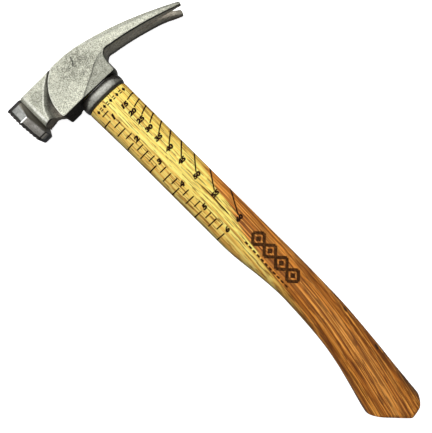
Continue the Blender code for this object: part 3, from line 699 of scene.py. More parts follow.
def mark_dent(d):
    out = np.zeros(len(d))
    path = [(41.6, -2.3), (38.9, -1.6), (37.0, -0.6), (35.4, 0.9)]
    for (ax, ay), (bx, by) in zip(path, path[1:]):
        lx, ly = bx - ax, by - ay
        t = np.clip(((d[:, 0] - ax) * lx + (d[:, 1] - ay) * ly) / (lx * lx + ly * ly), 0, 1)
        r = np.hypot(d[:, 0] - ax - lx * t, d[:, 1] - ay - ly * t)
        out = np.maximum(out, 1.0 - ease(r, 0.1, 0.9))
    return out


def finish_mask(mesh):
    """Per-vertex finish: painted shade on walls turned from the key light, in the slot and in the
    scoop, worn rims with painted highlight, and a tone factor that also holds painted shade.
    """
    n = len(mesh.vertices)
    co = np.zeros(n * 3, np.float32)
    mesh.vertices.foreach_get("co", co)
    nor = np.zeros(n * 3, np.float32)
    mesh.vertex_normals.foreach_get("vector", nor)
    d = co.reshape(-1, 3) / MM - np.array([OX, OY, 0.0])
    nor = nor.reshape(-1, 3)
    # painted shade: walls that face away from the key light take the dark colour, fully along their
    # rims
    wall = 1.0 - ease(np.abs(nor[:, 2]), 0.30, 0.72)
    away = ease(-nor[:, 0], -0.55, 0.35)
    under = np.abs(d[:, 2] - MID_Z)
    rim_line = ease(under, 11.2, 12.6)
    rim_line = np.maximum(rim_line, 0.97 * (1.0 - ease(d[:, 2], 2.0, 12.0)))
    rim_line = np.maximum(rim_line, ease(d[:, 2], 22.6, 24.6))
    painted_shade = wall * away * np.maximum(0.58 + 0.42 * ease(d[:, 1], -24.0, -16.0), rim_line)
    # painted shade in the slot between the claws
    slot_half = np.interp(d[:, 1], SLOT_Y[::-1], SLOT_HALF[::-1])
    in_slot = (1.0 - ease(under - slot_half, 0.2, 0.9)) * (d[:, 1] < -56.0)
    painted_shade = np.maximum(painted_shade, in_slot * (0.84 - 0.10 * (1.0 - ease(d[:, 1], -92.0, -80.0))))
    # painted shade in the scoop beside the cheek and along the foot of the cheek's wall
    ccx, ccy, cr = CHEEK_ARC
    scx, scy, sr = SCOOP_ARC
    r = np.hypot(d[:, 0] - ccx, d[:, 1] - ccy)
    q = np.hypot(d[:, 0] - scx, d[:, 1] - scy)
    below = MID_Z - np.abs(d[:, 2] - MID_Z)
    zone = (d[:, 1] > 4.0) & (d[:, 0] > 12.0)
    depth_share = ease(below, 0.0, 8.0)
    recess = (ease(r, cr - 0.5, cr + 0.1) * ease(below, 0.12, 0.55)
              * (1.0 - ease(q, sr - 2.4, sr + 1.0)) * zone)
    painted_shade = np.maximum(painted_shade, recess * (0.92 - 0.30 * depth_share
                                      * ease(r - cr, 1.0, 8.0)))
    painted_shade = np.maximum(painted_shade, zone * ease(below, 0.15, 0.5) * (r > cr - 0.4)
                      * (1.0 - ease(r - cr, 0.6, 2.6)))
    # bright worn rims with painted highlight: outside of the scoop, edge of the cheek, end of the
    # poll, edges of the claw strip
    flat = ease(np.abs(nor[:, 2]), 0.80, 0.97)
    wear_and_highlight = (1.0 - ease(np.abs(q - sr - 1.0), 0.3, 1.1)) * (r > cr) * zone * flat * 0.40
    wear_and_highlight = np.maximum(wear_and_highlight, (1.0 - ease(np.abs(r - cr + 0.35), 0.2, 0.7)) * zone
                      * (below < 0.8) * 0.7)
    wear_and_highlight = np.maximum(wear_and_highlight, (1.0 - ease(np.abs(d[:, 1] - 46.3), 0.5, 1.5)) * flat
                      * (below < 1.6) * (0.55 + 0.75 * (1.0 - ease(d[:, 0], 24.0, 44.0))))
    strip = np.clip(claw_strip(d), 0.0, 1.0)
    wear_and_highlight = np.maximum(wear_and_highlight, 4.0 * strip * (1.0 - strip) * flat * 0.45
                      * ease(d[:, 1], -90.0, -70.0))
    tone = np.ones(n)
    beyond, fade = crease_distance(d)
    # painted shade past the cheek's crease, and a darker painted shade line along the crease
    tone *= 1.0 - 0.30 * ease(beyond, 0.0, 0.4) * fade * (below < 6.0)
    tone *= 1.0 - 0.42 * (beyond > 0.02) * (1.0 - ease(beyond, 0.5, 1.2)) * fade
    tone *= 1.0 - 0.22 * strip
    tone *= 1.0 - 0.14 * strip * (1.0 - ease(d[:, 1], -60.0, -35.0))
    crown_edge = (1.0 - ease(np.abs(nor[:, 2]), 0.60, 0.95)) * ease(nor[:, 0], 0.0, 0.4)
    tone *= 1.0 - 0.42 * crown_edge * ease(under, 9.5, 12.0)
    tone *= 1.0 - 0.30 * (1.0 - ease(d[:, 1], -92.0, -48.0))
    tone *= 1.0 - 0.28 * (1.0 - ease(d[:, 1], -92.4, -90.4))
    tone *= 1.0 - 0.15 * ease(q, sr + 0.5, sr + 2.5) * (r > cr) * (d[:, 1] > 8.0)
    tone *= 1.0 - 0.10 * ease(d[:, 0], 16.0, 30.0) * (r < cr + 0.3)
    tone *= 1.0 + 0.08 * (1.0 - ease(d[:, 0], 13.0, 26.0)) * ease(d[:, 1], -4.0, 12.0)
    # painted shade in the tool mark
    tone *= 1.0 - 0.78 * mark_dent(d) * (d[:, 2] > 20.0)
    ring = np.hypot(d[:, 0] - 37.4, d[:, 1] - 38.6)
    tone *= 1.0 - 0.26 * (1.0 - ease(np.abs(ring - 3.9), 0.3, 0.9)) * (d[:, 2] > 20.0)
    tone *= 1.0 - 0.10 * (1.0 - ease(ring, 2.0, 8.0))
    for name, value in (("painted_shade", painted_shade), ("wear_and_highlight", wear_and_highlight), ("tone", tone)):
        att = mesh.attributes.new(name, "FLOAT", "POINT")
        att.data.foreach_set("value", value.astype(np.float32))


def build_head(mat):
    outline = head_outline()
    area = sum(a[0] * b[1] - b[0] * a[1]
               for a, b in zip(outline, outline[1:] + outline[:1]))
    if area < 0:
        outline = outline[::-1]
    rings = [[(x, y, z) for x, y in outline] for z in (0.0, HEAD_T)]
    head = loft("cast_head", rings, mat)

    tools = [scoop_cutter("scoop_a", 1), scoop_cutter("scoop_b", -1)]
    slot = []
    for x in (4.0, 42.0):
        half = list(zip(SLOT_Y, SLOT_HALF))
        slot.append([(x, y, MID_Z + h) for y, h in half]
                    + [(x, y, MID_Z - h) for y, h in half[:0:-1]])
    tools.append(loft("slot_tool", slot))
    tools.append(loft("eye_tool", [oval(x, EYE_Y, hy, hz, 2.5, 72) for x, hy, hz in
                                   ((CHEEK_X - 3, EYE_LEN / 2 + 0.1, EYE_WID / 2),
                                    (30.0, EYE_LEN / 2 - 0.5, EYE_WID / 2 - 0.4),
                                    (CROWN_X + 3, EYE_LEN / 2 + 0.2, EYE_WID / 2 + 0.2))]))
    tools.append(loft("socket_tool", [spigot_ring(y, 7.3, 6.3) for y in (39.0, 53.0)]))
    tools.append(rod("bore_tool", 23.3, 48.0, 2.3, 32))
    for tool in tools:
        cut(head, tool)
    bake_modifiers(head)
    remove(*tools)

    mod = head.modifiers.new("remesh", "REMESH")
    mod.mode = "VOXEL"
    mod.voxel_size = 0.00048
    mod.use_smooth_shade = True
    mod = head.modifiers.new("soften", "SMOOTH")
    mod.factor = 0.5
    mod.iterations = 3
    bake_modifiers(head)
    if not head.data.materials:
        head.data.materials.append(mat)
    else:
        head.data.materials[0] = mat

    mesh = head.data
    n = len(mesh.vertices)
    co = np.zeros(n * 3, np.float32)
    mesh.vertices.foreach_get("co", co)
    co = co.reshape(-1, 3).astype(float)
    d = co / MM - np.array([OX, OY, 0.0])
    up = np.sign(d[:, 2] - MID_Z)
    reach = np.clip((np.abs(d[:, 2] - MID_Z) - 7.0) / 5.0, 0.0, 1.0)
    # the cheek falls away below a soft crease
    beyond, fade = crease_distance(d)
    sink = (np.minimum(beyond, 24.0) * 0.15 + 0.32 * np.minimum(beyond, 1.1)) * fade * reach
    # a flat strip along the crown side of the claws
    strip = claw_strip(d)
    sink = sink + 0.55 * np.clip(strip, 0.0, 1.0) * reach
    # the end of the poll rolls over towards the cap
    roll = np.clip((d[:, 1] - 46.3) / 3.7, 0.0, 1.2)
    sink = sink + 2.3 * roll ** 2 * reach
    low = np.clip((27.0 - d[:, 0]) / 10.0, 0.0, 1.2) * np.clip((d[:, 1] - 41.0) / 7.0, 0.0, 1.0)
    sink = sink + 2.6 * low ** 2 * reach
    # a short tool mark on the marked cheek
    dent = mark_dent(d) * (up > 0)
    sink = sink + 0.55 * dent * (reach > 0.9)
    co[:, 2] -= up * sink * MM
    mesh.vertices.foreach_set("co", co.astype(np.float32).ravel())
    mesh.update()
    finish_mask(mesh)
    # the wall of the throat leans: the opening narrows towards the marked side
    lean = (np.clip((d[:, 2] - 4.0) / 23.0, 0.0, 1.0)
            * (1.0 - ease(d[:, 0], 21.2, 26.5)) * ease(d[:, 0], 12.6, 14.0)
            * ease(d[:, 1], 36.0, 40.0) * (1.0 - 0.45 * ease(d[:, 1], 46.5, 50.0)))
    low_side = ((1.0 - ease(d[:, 0], 21.2, 26.5)) * ease(d[:, 0], 12.2, 14.2)
                * ease(d[:, 1], 33.8, 37.0) * (1.0 - 0.6 * ease(d[:, 1], 47.0, 50.0)))
    co[:, 0] -= (1.6 * lean + 1.8 * low_side) * MM
    # cast draft: the cheek's end walls are a little fuller below, clear of the sleeve
    belly = 1.0 - (np.abs(d[:, 2] - MID_Z) / MID_Z) ** 2
    co[:, 0] -= (1.1 * np.clip((15.0 - d[:, 2]) / 11.0, 0.0, 1.0)
                 * (1.0 - ease(d[:, 0], 12.1, 14.5))
                 * ease(d[:, 1], 20.8, 23.8) * (d[:, 0] > 10.0) * (d[:, 1] < 36.0)) * MM
    co[:, 1] -= (1.3 * belly * (1.0 - ease(d[:, 0], 18.0, 25.0)) * ease(d[:, 0], 11.4, 13.0)
                 * (1.0 - ease(d[:, 1], -20.6, -19.4))) * MM
    # the lower claw is a little fuller under its end
    down = CROWN_X - 0.0231 * np.maximum(5.0 - d[:, 1], 0.0) ** 1.577 - d[:, 0]
    co[:, 0] -= (1.5 * np.clip(down / 3.2, 0.0, 1.0) * (1.0 - ease(d[:, 1], -93.0, -76.0))
                 * (d[:, 2] < MID_Z)) * MM
    mesh.vertices.foreach_set("co", co.astype(np.float32).ravel())
    mesh.update()
    fill_grid_noise(mesh, 2.6, 0.050, 3.0, 3)
    mesh.shade_smooth()
    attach(head, "root")
    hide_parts("head_casting")
    return head


# ------------------------------------------------------------------ the cap
def cap_ring(y, inset, top_inset=None, top_y=None, low_y=None, crown=0.0, high_z=None):
    top = 47.2 - (inset if top_inset is None else top_inset)
    low = 13.2 + inset
    ridge, high = 13.5 - inset, 11.2 - inset
    high = high if high_z is None else high_z
    side, foot = 10.3 - inset, 9.6 - inset
    top_y = y if top_y is None else top_y
    low_y = y if low_y is None else low_y
    pts = [(top - 0.8, top_y, high), (32.0, y, ridge), (low + 0.8, low_y, side),
           (low, low_y, foot - 0.3), (low, low_y, -foot + 0.3), (low + 0.8, low_y, -side),
           (32.0, y, -ridge), (top - 0.8, top_y, -high),
           (top, top_y, -high + 1.2), (top, top_y, high - 1.2)]
    return [(x, v - crown * (x - 42.0) ** 2, MID_Z + z) for x, v, z in pts]


def build_cap(mat, ridge_highlight_mat):
    rings = [spigot_ring(39.4, 6.4, 5.4), spigot_ring(40.0, 7.0, 6.0),
             spigot_ring(50.3, 7.0, 6.0),
             cap_ring(50.2, 4.2, 0.2, high_z=10.9),
             cap_ring(55.0, 0.0, 0.0, 51.0, 53.7),
             cap_ring(62.1, 0.0, crown=0.0022),
             cap_ring(62.6, 0.6, crown=0.0022)]
    cap = loft("striking_cap_body", rings, mat)
    tool = rod("bore_tool", 23.3, 48.0, 2.3, 32)
    cut(cap, tool)
    bake_modifiers(cap)
    remove(tool)
    bev = cap.modifiers.new("bevel", "BEVEL")
    bev.limit_method = "ANGLE"
    bev.angle_limit = math.radians(14)
    bev.width = 0.00055
    bev.segments = 2
    bev.use_clamp_overlap = True
    bake_modifiers(cap)
    mesh = cap.data
    mesh.shade_smooth()
    mesh.set_sharp_from_angle(angle=math.radians(40))
    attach(cap, "root")
    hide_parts("striking_cap")

    # painted highlight strips on the two ridges, standing also for polished wear
    for sign, name in ((1, "ridge_highlight_a"), (-1, "ridge_highlight_b")):
        rows = []
        for k in range(13):
            t = k / 12
            y = 55.3 + t * 6.4
            half = 0.45
            off = 0.04
            z_up = 13.5 - (half / 14.0) * 2.3
            z_dn = 13.5 - (half / 18.8) * 3.2
            yc = y - 0.0022 * 36.0 * t
            rows.append([(32.0 + half, yc, MID_Z + sign * (z_up - 0.25)),
                         (32.0 + half, yc, MID_Z + sign * (z_up + off)),
                         (32.0 + half * 0.4, yc, MID_Z + sign * (13.5 + off - 0.02)),
                         (32.0 - half * 0.4, yc, MID_Z + sign * (13.5 + off - 0.02)),
                         (32.0 - half, yc, MID_Z + sign * (z_dn + off)),
                         (32.0 - half, yc, MID_Z + sign * (z_dn - 0.25))])
        strip = loft(name, rows, ridge_highlight_mat, 30)
        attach(strip, "root")
    return cap


def build_face(mat):
    """Milled striking face: a grid of small truncated pyramids."""
    pitch, depth, step = 3.4, 1.05, 0.34
    x0, x1, z0, z1 = 12.0, 48.4, -14.5, 14.5
    nx, nz = int((x1 - x0) / step) + 1, int((z1 - z0) / step) + 1

    def groove(t):
        f = abs((t / pitch) % 1.0 - 0.5) * 2.0          # 1 in the groove, 0 on the top
        return max(0.0, (f - 0.42) / 0.58)

    def height(x, z):
        top = 63.65 - 0.0022 * (x - 42.0) ** 2
        edge_z = np.interp(x, (13.2, 14.0, 32.0, 46.4), (9.3, 10.3, 13.5, 11.2))
        inner = min(max((edge_z - abs(z) - 0.7) / 1.2, 0.0), 1.0)
        cut_depth = depth * max(groove(x - 13.2), groove(z + 0.5 * pitch) * inner)
        return top - cut_depth

    verts, faces = [], []
    for i in range(nx):
        for j in range(nz):
            x, z = x0 + i * step, z0 + j * step
            verts.append((x, height(x, z), MID_Z + z))
    base = len(verts)
    for i in range(nx):
        for j in range(nz):
            x, z = x0 + i * step, z0 + j * step
            verts.append((x, 61.9 - 0.0022 * (x - 42.0) ** 2, MID_Z + z))
    for i in range(nx - 1):
        for j in range(nz - 1):
            a = i * nz + j
            faces.append((a, a + 1, a + nz + 1, a + nz))
            faces.append((base + a, base + a + nz, base + a + nz + 1, base + a + 1))
    edge = ([i * nz for i in range(nx)] + [(nx - 1) * nz + j for j in range(1, nz)]
            + [i * nz + nz - 1 for i in range(nx - 2, -1, -1)]
            + [j for j in range(nz - 2, 0, -1)])
    for a, b in zip(edge, edge[1:] + edge[:1]):
        faces.append((a, b, base + b, base + a))
    face = mesh_object("milled_face", verts, faces, mat)
    bm = bmesh.new()
    bm.from_mesh(face.data)
    inset = 0.10
    pts = [(47.2, 0.0), (47.2, 10.0), (46.4, 11.2), (32.0, 13.5), (14.0, 10.3), (13.2, 9.3),
           (13.2, 0.0)]
    pts = pts + [(x, -z) for x, z in reversed(pts)]
    cx, cz = 30.0, 0.0
    for (ax, az), (bx, bz) in zip(pts, pts[1:] + pts[:1]):
        if math.hypot(bx - ax, bz - az) < 1e-6:
            continue
        nrm = Vector((bz - az, 0.0, -(bx - ax))).normalized()
        mx, mz = (ax + bx) / 2, (az + bz) / 2
        if nrm.x * (mx - cx) + nrm.z * (mz - cz) < 0:
            nrm = -nrm
        co = P(mx - nrm.x * inset, 60.0, MID_Z + mz - nrm.z * inset)
        res = bmesh.ops.bisect_plane(bm, geom=bm.verts[:] + bm.edges[:] + bm.faces[:],
                                     dist=1e-8, plane_co=co, plane_no=nrm,
                                     clear_outer=True)
        cut_edges = [e for e in res["geom_cut"] if isinstance(e, bmesh.types.BMEdge)]
        bmesh.ops.holes_fill(bm, edges=cut_edges, sides=0)
    bmesh.ops.recalc_face_normals(bm, faces=bm.faces)
    bm.to_mesh(face.data)
    bm.free()
    face.data.shade_smooth()
    face.data.set_sharp_from_angle(angle=math.radians(28))
    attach(face, "root")
    return face


# ------------------------------------------------------------------ the sleeve
def build_sleeve(mat):
    count = 144
    lo, hi = 0.3, 11.4
    profile = []
    steps = 26
    for k in range(steps + 1):
        t = k / steps
        u = 0.5 - 0.5 * math.cos(math.pi * t)
        w = (u - 0.46) / 0.54 if u > 0.46 else (u - 0.46) / 0.46
        profile.append((lo + (hi - lo) * u, -(2.7 if w > 0 else 2.0) * abs(w) ** 2.6
                        - 0.30 * max(0.0, abs(2 * u - 1) - 0.9) / 0.1))
    rings = [oval(x, -0.45, 20.05 + off, 12.7 + off, 2.6, count) for x, off in profile]
    rings += [oval(x, 0.0, 16.6 + FIT, 10.2 + FIT, 2.6, count) for x in (hi, lo)]
    verts = [p for r in rings for p in r]
    faces = []
    m = len(rings)
    for k in range(m):
        l = (k + 1) % m
        for i in range(count):
            j = (i + 1) % count
            faces.append((k * count + i, k * count + j, l * count + j, l * count + i))
    ob = mesh_object("guard_band", verts, faces, mat, 42)
    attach(ob, "root")
    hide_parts("guard_sleeve")
    return ob


# ------------------------------------------------------------------ the handle
HANDLE = (
    (0.0, 18.6, -19.4, 25.0, 2.7), (-45.0, 17.3, -20.0, 24.4, 2.7),
    (-90.0, 16.6, -20.7, 24.0, 2.7), (-130.0, 16.1, -21.4, 24.0, 2.6),
    (-155.0, 15.6, -21.8, 24.2, 2.5), (-172.0, 13.9, -22.0, 24.4, 2.4),
    (-190.0, 11.6, -22.4, 24.6, 2.3), (-210.0, 10.1, -22.5, 24.8, 2.25),
    (-230.0, 10.5, -22.4, 25.0, 2.25), (-250.0, 11.6, -22.1, 25.2, 2.25),
    (-267.0, 13.3, -21.1, 25.6, 2.3), (-283.0, 16.1, -19.9, 26.0, 2.4),
    (-299.0, 19.9, -18.5, 26.5, 2.5), (-313.0, 23.6, -17.1, 27.0, 2.5),
    (-326.0, 26.7, -16.0, 27.0, 2.5), (-343.0, 29.2, -14.6, 27.0, 2.5),
    (-362.0, 31.0, -13.6, 27.0, 2.5))
DENSE = np.array(smooth_curve([tuple(r) for r in HANDLE], 14))[::-1]


def station(x):
    hi, lo, thick, sq = (float(np.interp(x, DENSE[:, 0], DENSE[:, i])) for i in range(1, 5))
    return (hi + lo) / 2, (hi - lo) / 2, thick / 2, sq


def surface(x, y, lift=0.0):
    """Point and normal on the marked side of the handle."""
    cy, hy, hz, sq = station(x)
    f = max(-0.9995, min(0.9995, (y - cy) / hy))
    g = (1 - abs(f) ** sq) ** (1 / sq)
    ny = math.copysign(abs(f) ** (sq - 1), f) / hy
    nz = g ** (sq - 1) / hz
    ln = math.hypot(ny, nz)
    return (x, cy + f * hy + ny / ln * lift, MID_Z + g * hz + nz / ln * lift)


def butt_x(y, z):
    """Rounded meeting of the slanted end faces and their chamfers."""
    vals = []
    over = abs(z - MID_Z) - (MID_Z - 2.4)
    for px, py, deg in ((-352.4, 3.2, 46.0), (-352.4, 3.2, -10.0), (-347.6, -11.2, -42.0)):
        a = math.radians(deg)
        flat = px + math.tan(a) * (y - py)
        vals += [flat, flat + over / math.cos(a)]
    k = 1.3
    m = max(vals)
    return m + math.log(sum(math.exp((v - m) * k) for v in vals)) / k - 0.35


def build_handle(mat):
    count = 144
    hy, hz = EYE_LEN / 2 - FIT, EYE_WID / 2 - FIT
    rings = []
    rings.append(oval(45.4, EYE_Y, hy - 0.3, hz - 0.3, 2.5, count))
    rings.append(oval(45.1, EYE_Y, hy, hz, 2.5, count))
    for k in range(1, 6):
        t = k / 6
        rings.append(oval(45.4 + (30.0 - 45.4) * t, EYE_Y, hy - 0.6 * t, hz - 0.5 * t, 2.5, count))
    rings.append(oval(30.0, EYE_Y, hy - 0.6, hz - 0.5, 2.5, count))
    rings.append(oval(CHEEK_X - 0.35, EYE_Y, hy - 0.1, hz - 0.1, 2.5, count))
    rings.append(oval(10.8, 0.0, 16.6, 10.2, 2.6, count))
    rings.append(oval(0.0, 0.0, 16.6, 10.2, 2.6, count))
    cy, h, t2, sq = station(0.0)
    for k in range(5):
        a = math.pi / 2 * k / 4
        r = 0.8
        rings.append(oval(-r * (1 - math.cos(a)), cy, h - r * (1 - math.sin(a)),
                          t2 - r * (1 - math.sin(a)), sq, count))
    body_x = [-1.6 - 1.0 * i for i in range(298)]
    for x in body_x:
        cy, h, t2, sq = station(x)
        rings.append(oval(x, cy, h, t2, sq, count))
    x_from = body_x[-1]

    # the flared end: each of the count lines runs down to the slanted butt
    xs = np.arange(x_from + 4.0, -361.0, -1.0)
    table = np.array([[(p[1], p[2]) for p in oval(x, *station(x), count)] for x in xs])

    def at(j, x):
        f = (xs[0] - x) / 1.0
        i = int(min(max(math.floor(f), 0), len(xs) - 2))
        w = min(max(f - i, 0.0), 1.0)
        return table[i, j] * (1 - w) + table[i + 1, j] * w

    ends = []
    for j in range(count):
        x = -345.0
        for _ in range(60):
            yy, zz = at(j, x)
            x = 0.5 * x + 0.5 * butt_x(yy, zz)
        ends.append(x)
    r = 2.0
    n_side = 56
    for k in range(1, n_side + 1):
        ring = []
        for j in range(count):
            x = x_from + (ends[j] + r - x_from) * k / n_side
            yy, zz = at(j, x)
            ring.append((x, float(yy), float(zz)))
        rings.append(ring)
    centre = np.array([np.mean([at(j, ends[j])[0] for j in range(count)]), MID_Z])
    for k in range(1, 7):
        a = math.pi / 2 * k / 6
        inset = r * (1 - math.cos(a))
        ring = []
        for j in range(count):
            rim = at(j, ends[j] + r * (1 - math.sin(a)))
            inward = centre - rim
            ln = np.linalg.norm(inward)
            q = rim + inward / ln * inset
            ring.append((butt_x(*q) + r * (1 - math.sin(a)), float(q[0]), float(q[1])))
        rings.append(ring)
    last = [np.array(p[1:]) for p in rings[-1]]
    for k in range(1, 16):
        s = (k / 16) ** 0.9
        ring = []
        for j in range(count):
            q = last[j] * (1 - s) + centre * s
            ring.append((butt_x(*q), float(q[0]), float(q[1])))
        rings.append(ring)
    handle = loft("hickory_handle", rings, mat)

    def wedge_tool(name, top_x, end_x, y_top, y_end, z_top, z_end, cy):
        out = []
        for x, a, b in ((top_x, y_top, z_top), (end_x, y_end, z_end)):
            out.append([(x, cy - a, MID_Z - b), (x, cy + a, MID_Z - b),
                        (x, cy + a, MID_Z + b), (x, cy - a, MID_Z + b)])
        return loft(name, out)

    tools = [wedge_tool("kerf_tool", 47.4, 19.5, EYE_LEN, EYE_LEN, 1.7 + 0.22, 0.5 + 0.2, EYE_Y)]
    for i, yc in enumerate((-6.5, 7.5)):
        tools.append(wedge_tool("pocket_tool_%d" % i, 47.4, 31.1, 1.3 + 0.22, 0.35 + 0.2,
                                6.5 + 0.15, 5.9 + 0.15, yc))
    for tool in tools:
        cut(handle, tool)
    bake_modifiers(handle)
    remove(*tools)
    mesh = handle.data
    n = len(mesh.vertices)
    co = np.zeros(n * 3, np.float32)
    mesh.vertices.foreach_get("co", co)
    d = co.reshape(-1, 3) / MM - np.array([OX, OY, 0.0])
    hi = np.interp(d[:, 0], DENSE[:, 0], DENSE[:, 1])
    lo = np.interp(d[:, 0], DENSE[:, 0], DENSE[:, 2])
    across = np.where(d[:, 0] > 0.5, 0.0, (2 * d[:, 1] - hi - lo) / (hi - lo))
    att = mesh.attributes.new("across", "FLOAT", "POINT")
    att.data.foreach_set("value", np.clip(across, -1, 1).astype(np.float32))
    mesh.shade_smooth()
    mesh.set_sharp_from_angle(angle=math.radians(40))
    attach(handle, "root")
    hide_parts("handle")
    return handle


# ------------------------------------------------------------------ burnt marks
class Marks:
    """Thin burnt strokes that follow the handle's surface."""

    def __init__(self):
        self.bm = bmesh.new()
        self.lift = 0.045
        self.sink = 0.12

    def _p(self, x, y, lift):
        return self.bm.verts.new(P(*surface(x, y, lift)))

    def stroke(self, x0, y0, x1, y1, width, taper=1.0, crowd=1.0):
        """Stroke between two surface points, width in mm; rows crowd at the start."""
        ln = math.hypot(x1 - x0, y1 - y0)
        n = max(2, int(ln / 0.5 * (1.0 + 1.6 * (crowd - 1.0))))
        dx, dy = (x1 - x0) / ln, (y1 - y0) / ln
        top, low = [], []
        for k in range(n + 1):
            t = (k / n) ** crowd
            w = width / 2 * (1 + (taper - 1) * t)
            if k in (0, n):
                w *= 0.72
            cx, cy = x0 + (x1 - x0) * t, y0 + (y1 - y0) * t
            row_t, row_l = [], []
            for s in (-1.0, 0.0, 1.0):
                x, y = cx - dy * w * s, cy + dx * w * s
                row_t.append(self._p(x, y, self.lift))
                row_l.append(self._p(x, y, -self.sink))
            top.append(row_t)
            low.append(row_l)
        f = self.bm.faces.new
        for a, b, c, d in zip(top, top[1:], low, low[1:]):
            for i in range(2):
                f((a[i], a[i + 1], b[i + 1], b[i]))
                f((c[i], d[i], d[i + 1], c[i + 1]))
            f((a[0], b[0], d[0], c[0]))
            f((a[2], c[2], d[2], b[2]))
        for t_row, l_row, flip in ((top[0], low[0], False), (top[-1], low[-1], True)):
            for i in range(2):
                q = (t_row[i], l_row[i], l_row[i + 1], t_row[i + 1])
                f(q[::-1] if flip else q)

    def polygon(self, pts):
        """Filled small convex polygon, laid on the surface."""
        top = [self._p(x, y, self.lift) for x, y in pts]
        low = [self._p(x, y, -self.sink) for x, y in pts]
        self.bm.faces.new(top)
        self.bm.faces.new(low[::-1])
        n = len(pts)
        for i in range(n):
            j = (i + 1) % n
            self.bm.faces.new((top[i], low[i], low[j], top[j]))

    def text(self, body, cx, cy, height, bold=0.0, shear=0.0, squeeze=1.0, turn=0.0):
        """Plain numerals: they read towards -Y and stand towards +X."""
        cu = bpy.data.curves.new("numeral", "FONT")
        cu.body = body
        cu.size = 1.0
        cu.align_x = "CENTER"
        cu.align_y = "CENTER"
        cu.offset = bold
        cu.shear = shear
        cu.resolution_u = 3
        cu.space_character = 0.98
        ob = link(bpy.data.objects.new("numeral", cu))
        dg = bpy.context.evaluated_depsgraph_get()
        dg.update()
        me = bpy.data.meshes.new_from_object(ob.evaluated_get(dg))
        bpy.data.objects.remove(ob, do_unlink=True)
        tb = bmesh.new()
        tb.from_mesh(me)
        bpy.data.meshes.remove(me)
        bmesh.ops.remove_doubles(tb, verts=tb.verts, dist=1e-4)
        xs = [v.co.x for v in tb.verts]
        ys = [v.co.y for v in tb.verts]
        mx, my = (min(xs) + max(xs)) / 2, (min(ys) + max(ys)) / 2
        s = height / (max(ys) - min(ys))
        for lo_hi, axis in (((min(xs), max(xs)), 0), ((min(ys), max(ys)), 1)):
            gap = 0.75 / s
            k = 1
            while lo_hi[0] + k * gap < lo_hi[1]:
                at = [0.0, 0.0, 0.0]
                no = [0.0, 0.0, 0.0]
                at[axis] = lo_hi[0] + k * gap
                no[axis] = 1.0
                bmesh.ops.bisect_plane(tb, geom=tb.verts[:] + tb.edges[:] + tb.faces[:],
                                       dist=1e-6, plane_co=at, plane_no=no)
                k += 1
        bmesh.ops.triangulate(tb, faces=tb.faces)
        c, sn = math.cos(math.radians(turn)), math.sin(math.radians(turn))
        flat = {}
        for v in tb.verts:
            a, b = (v.co.x - mx) * s * squeeze, (v.co.y - my) * s
            a, b = a * c - b * sn, a * sn + b * c
            flat[v] = (cx + b, cy - a)
        top = {v: self._p(*q, self.lift) for v, q in flat.items()}
        low = {v: self._p(*q, -self.sink) for v, q in flat.items()}
        for f in tb.faces:
            self.bm.faces.new([top[v] for v in f.verts])
            self.bm.faces.new([low[v] for v in reversed(f.verts)])
        for e in tb.edges:
            if len(e.link_faces) == 1:
                a, b = e.verts
                self.bm.faces.new((top[a], top[b], low[b], low[a]))
        tb.free()

    def make(self, name, mat):
        bmesh.ops.recalc_face_normals(self.bm, faces=self.bm.faces)
        mesh = bpy.data.meshes.new(name)
        self.bm.to_mesh(mesh)
        self.bm.free()
        mesh.materials.append(mat)
        ob = link(bpy.data.objects.new(name, mesh))
        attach(ob, "root")
        return ob


def edge_hi(x):
    cy, hy, hz, sq = station(x)
    return cy + hy


def edge_lo(x):
    cy, hy, hz, sq = station(x)
    return cy - hy


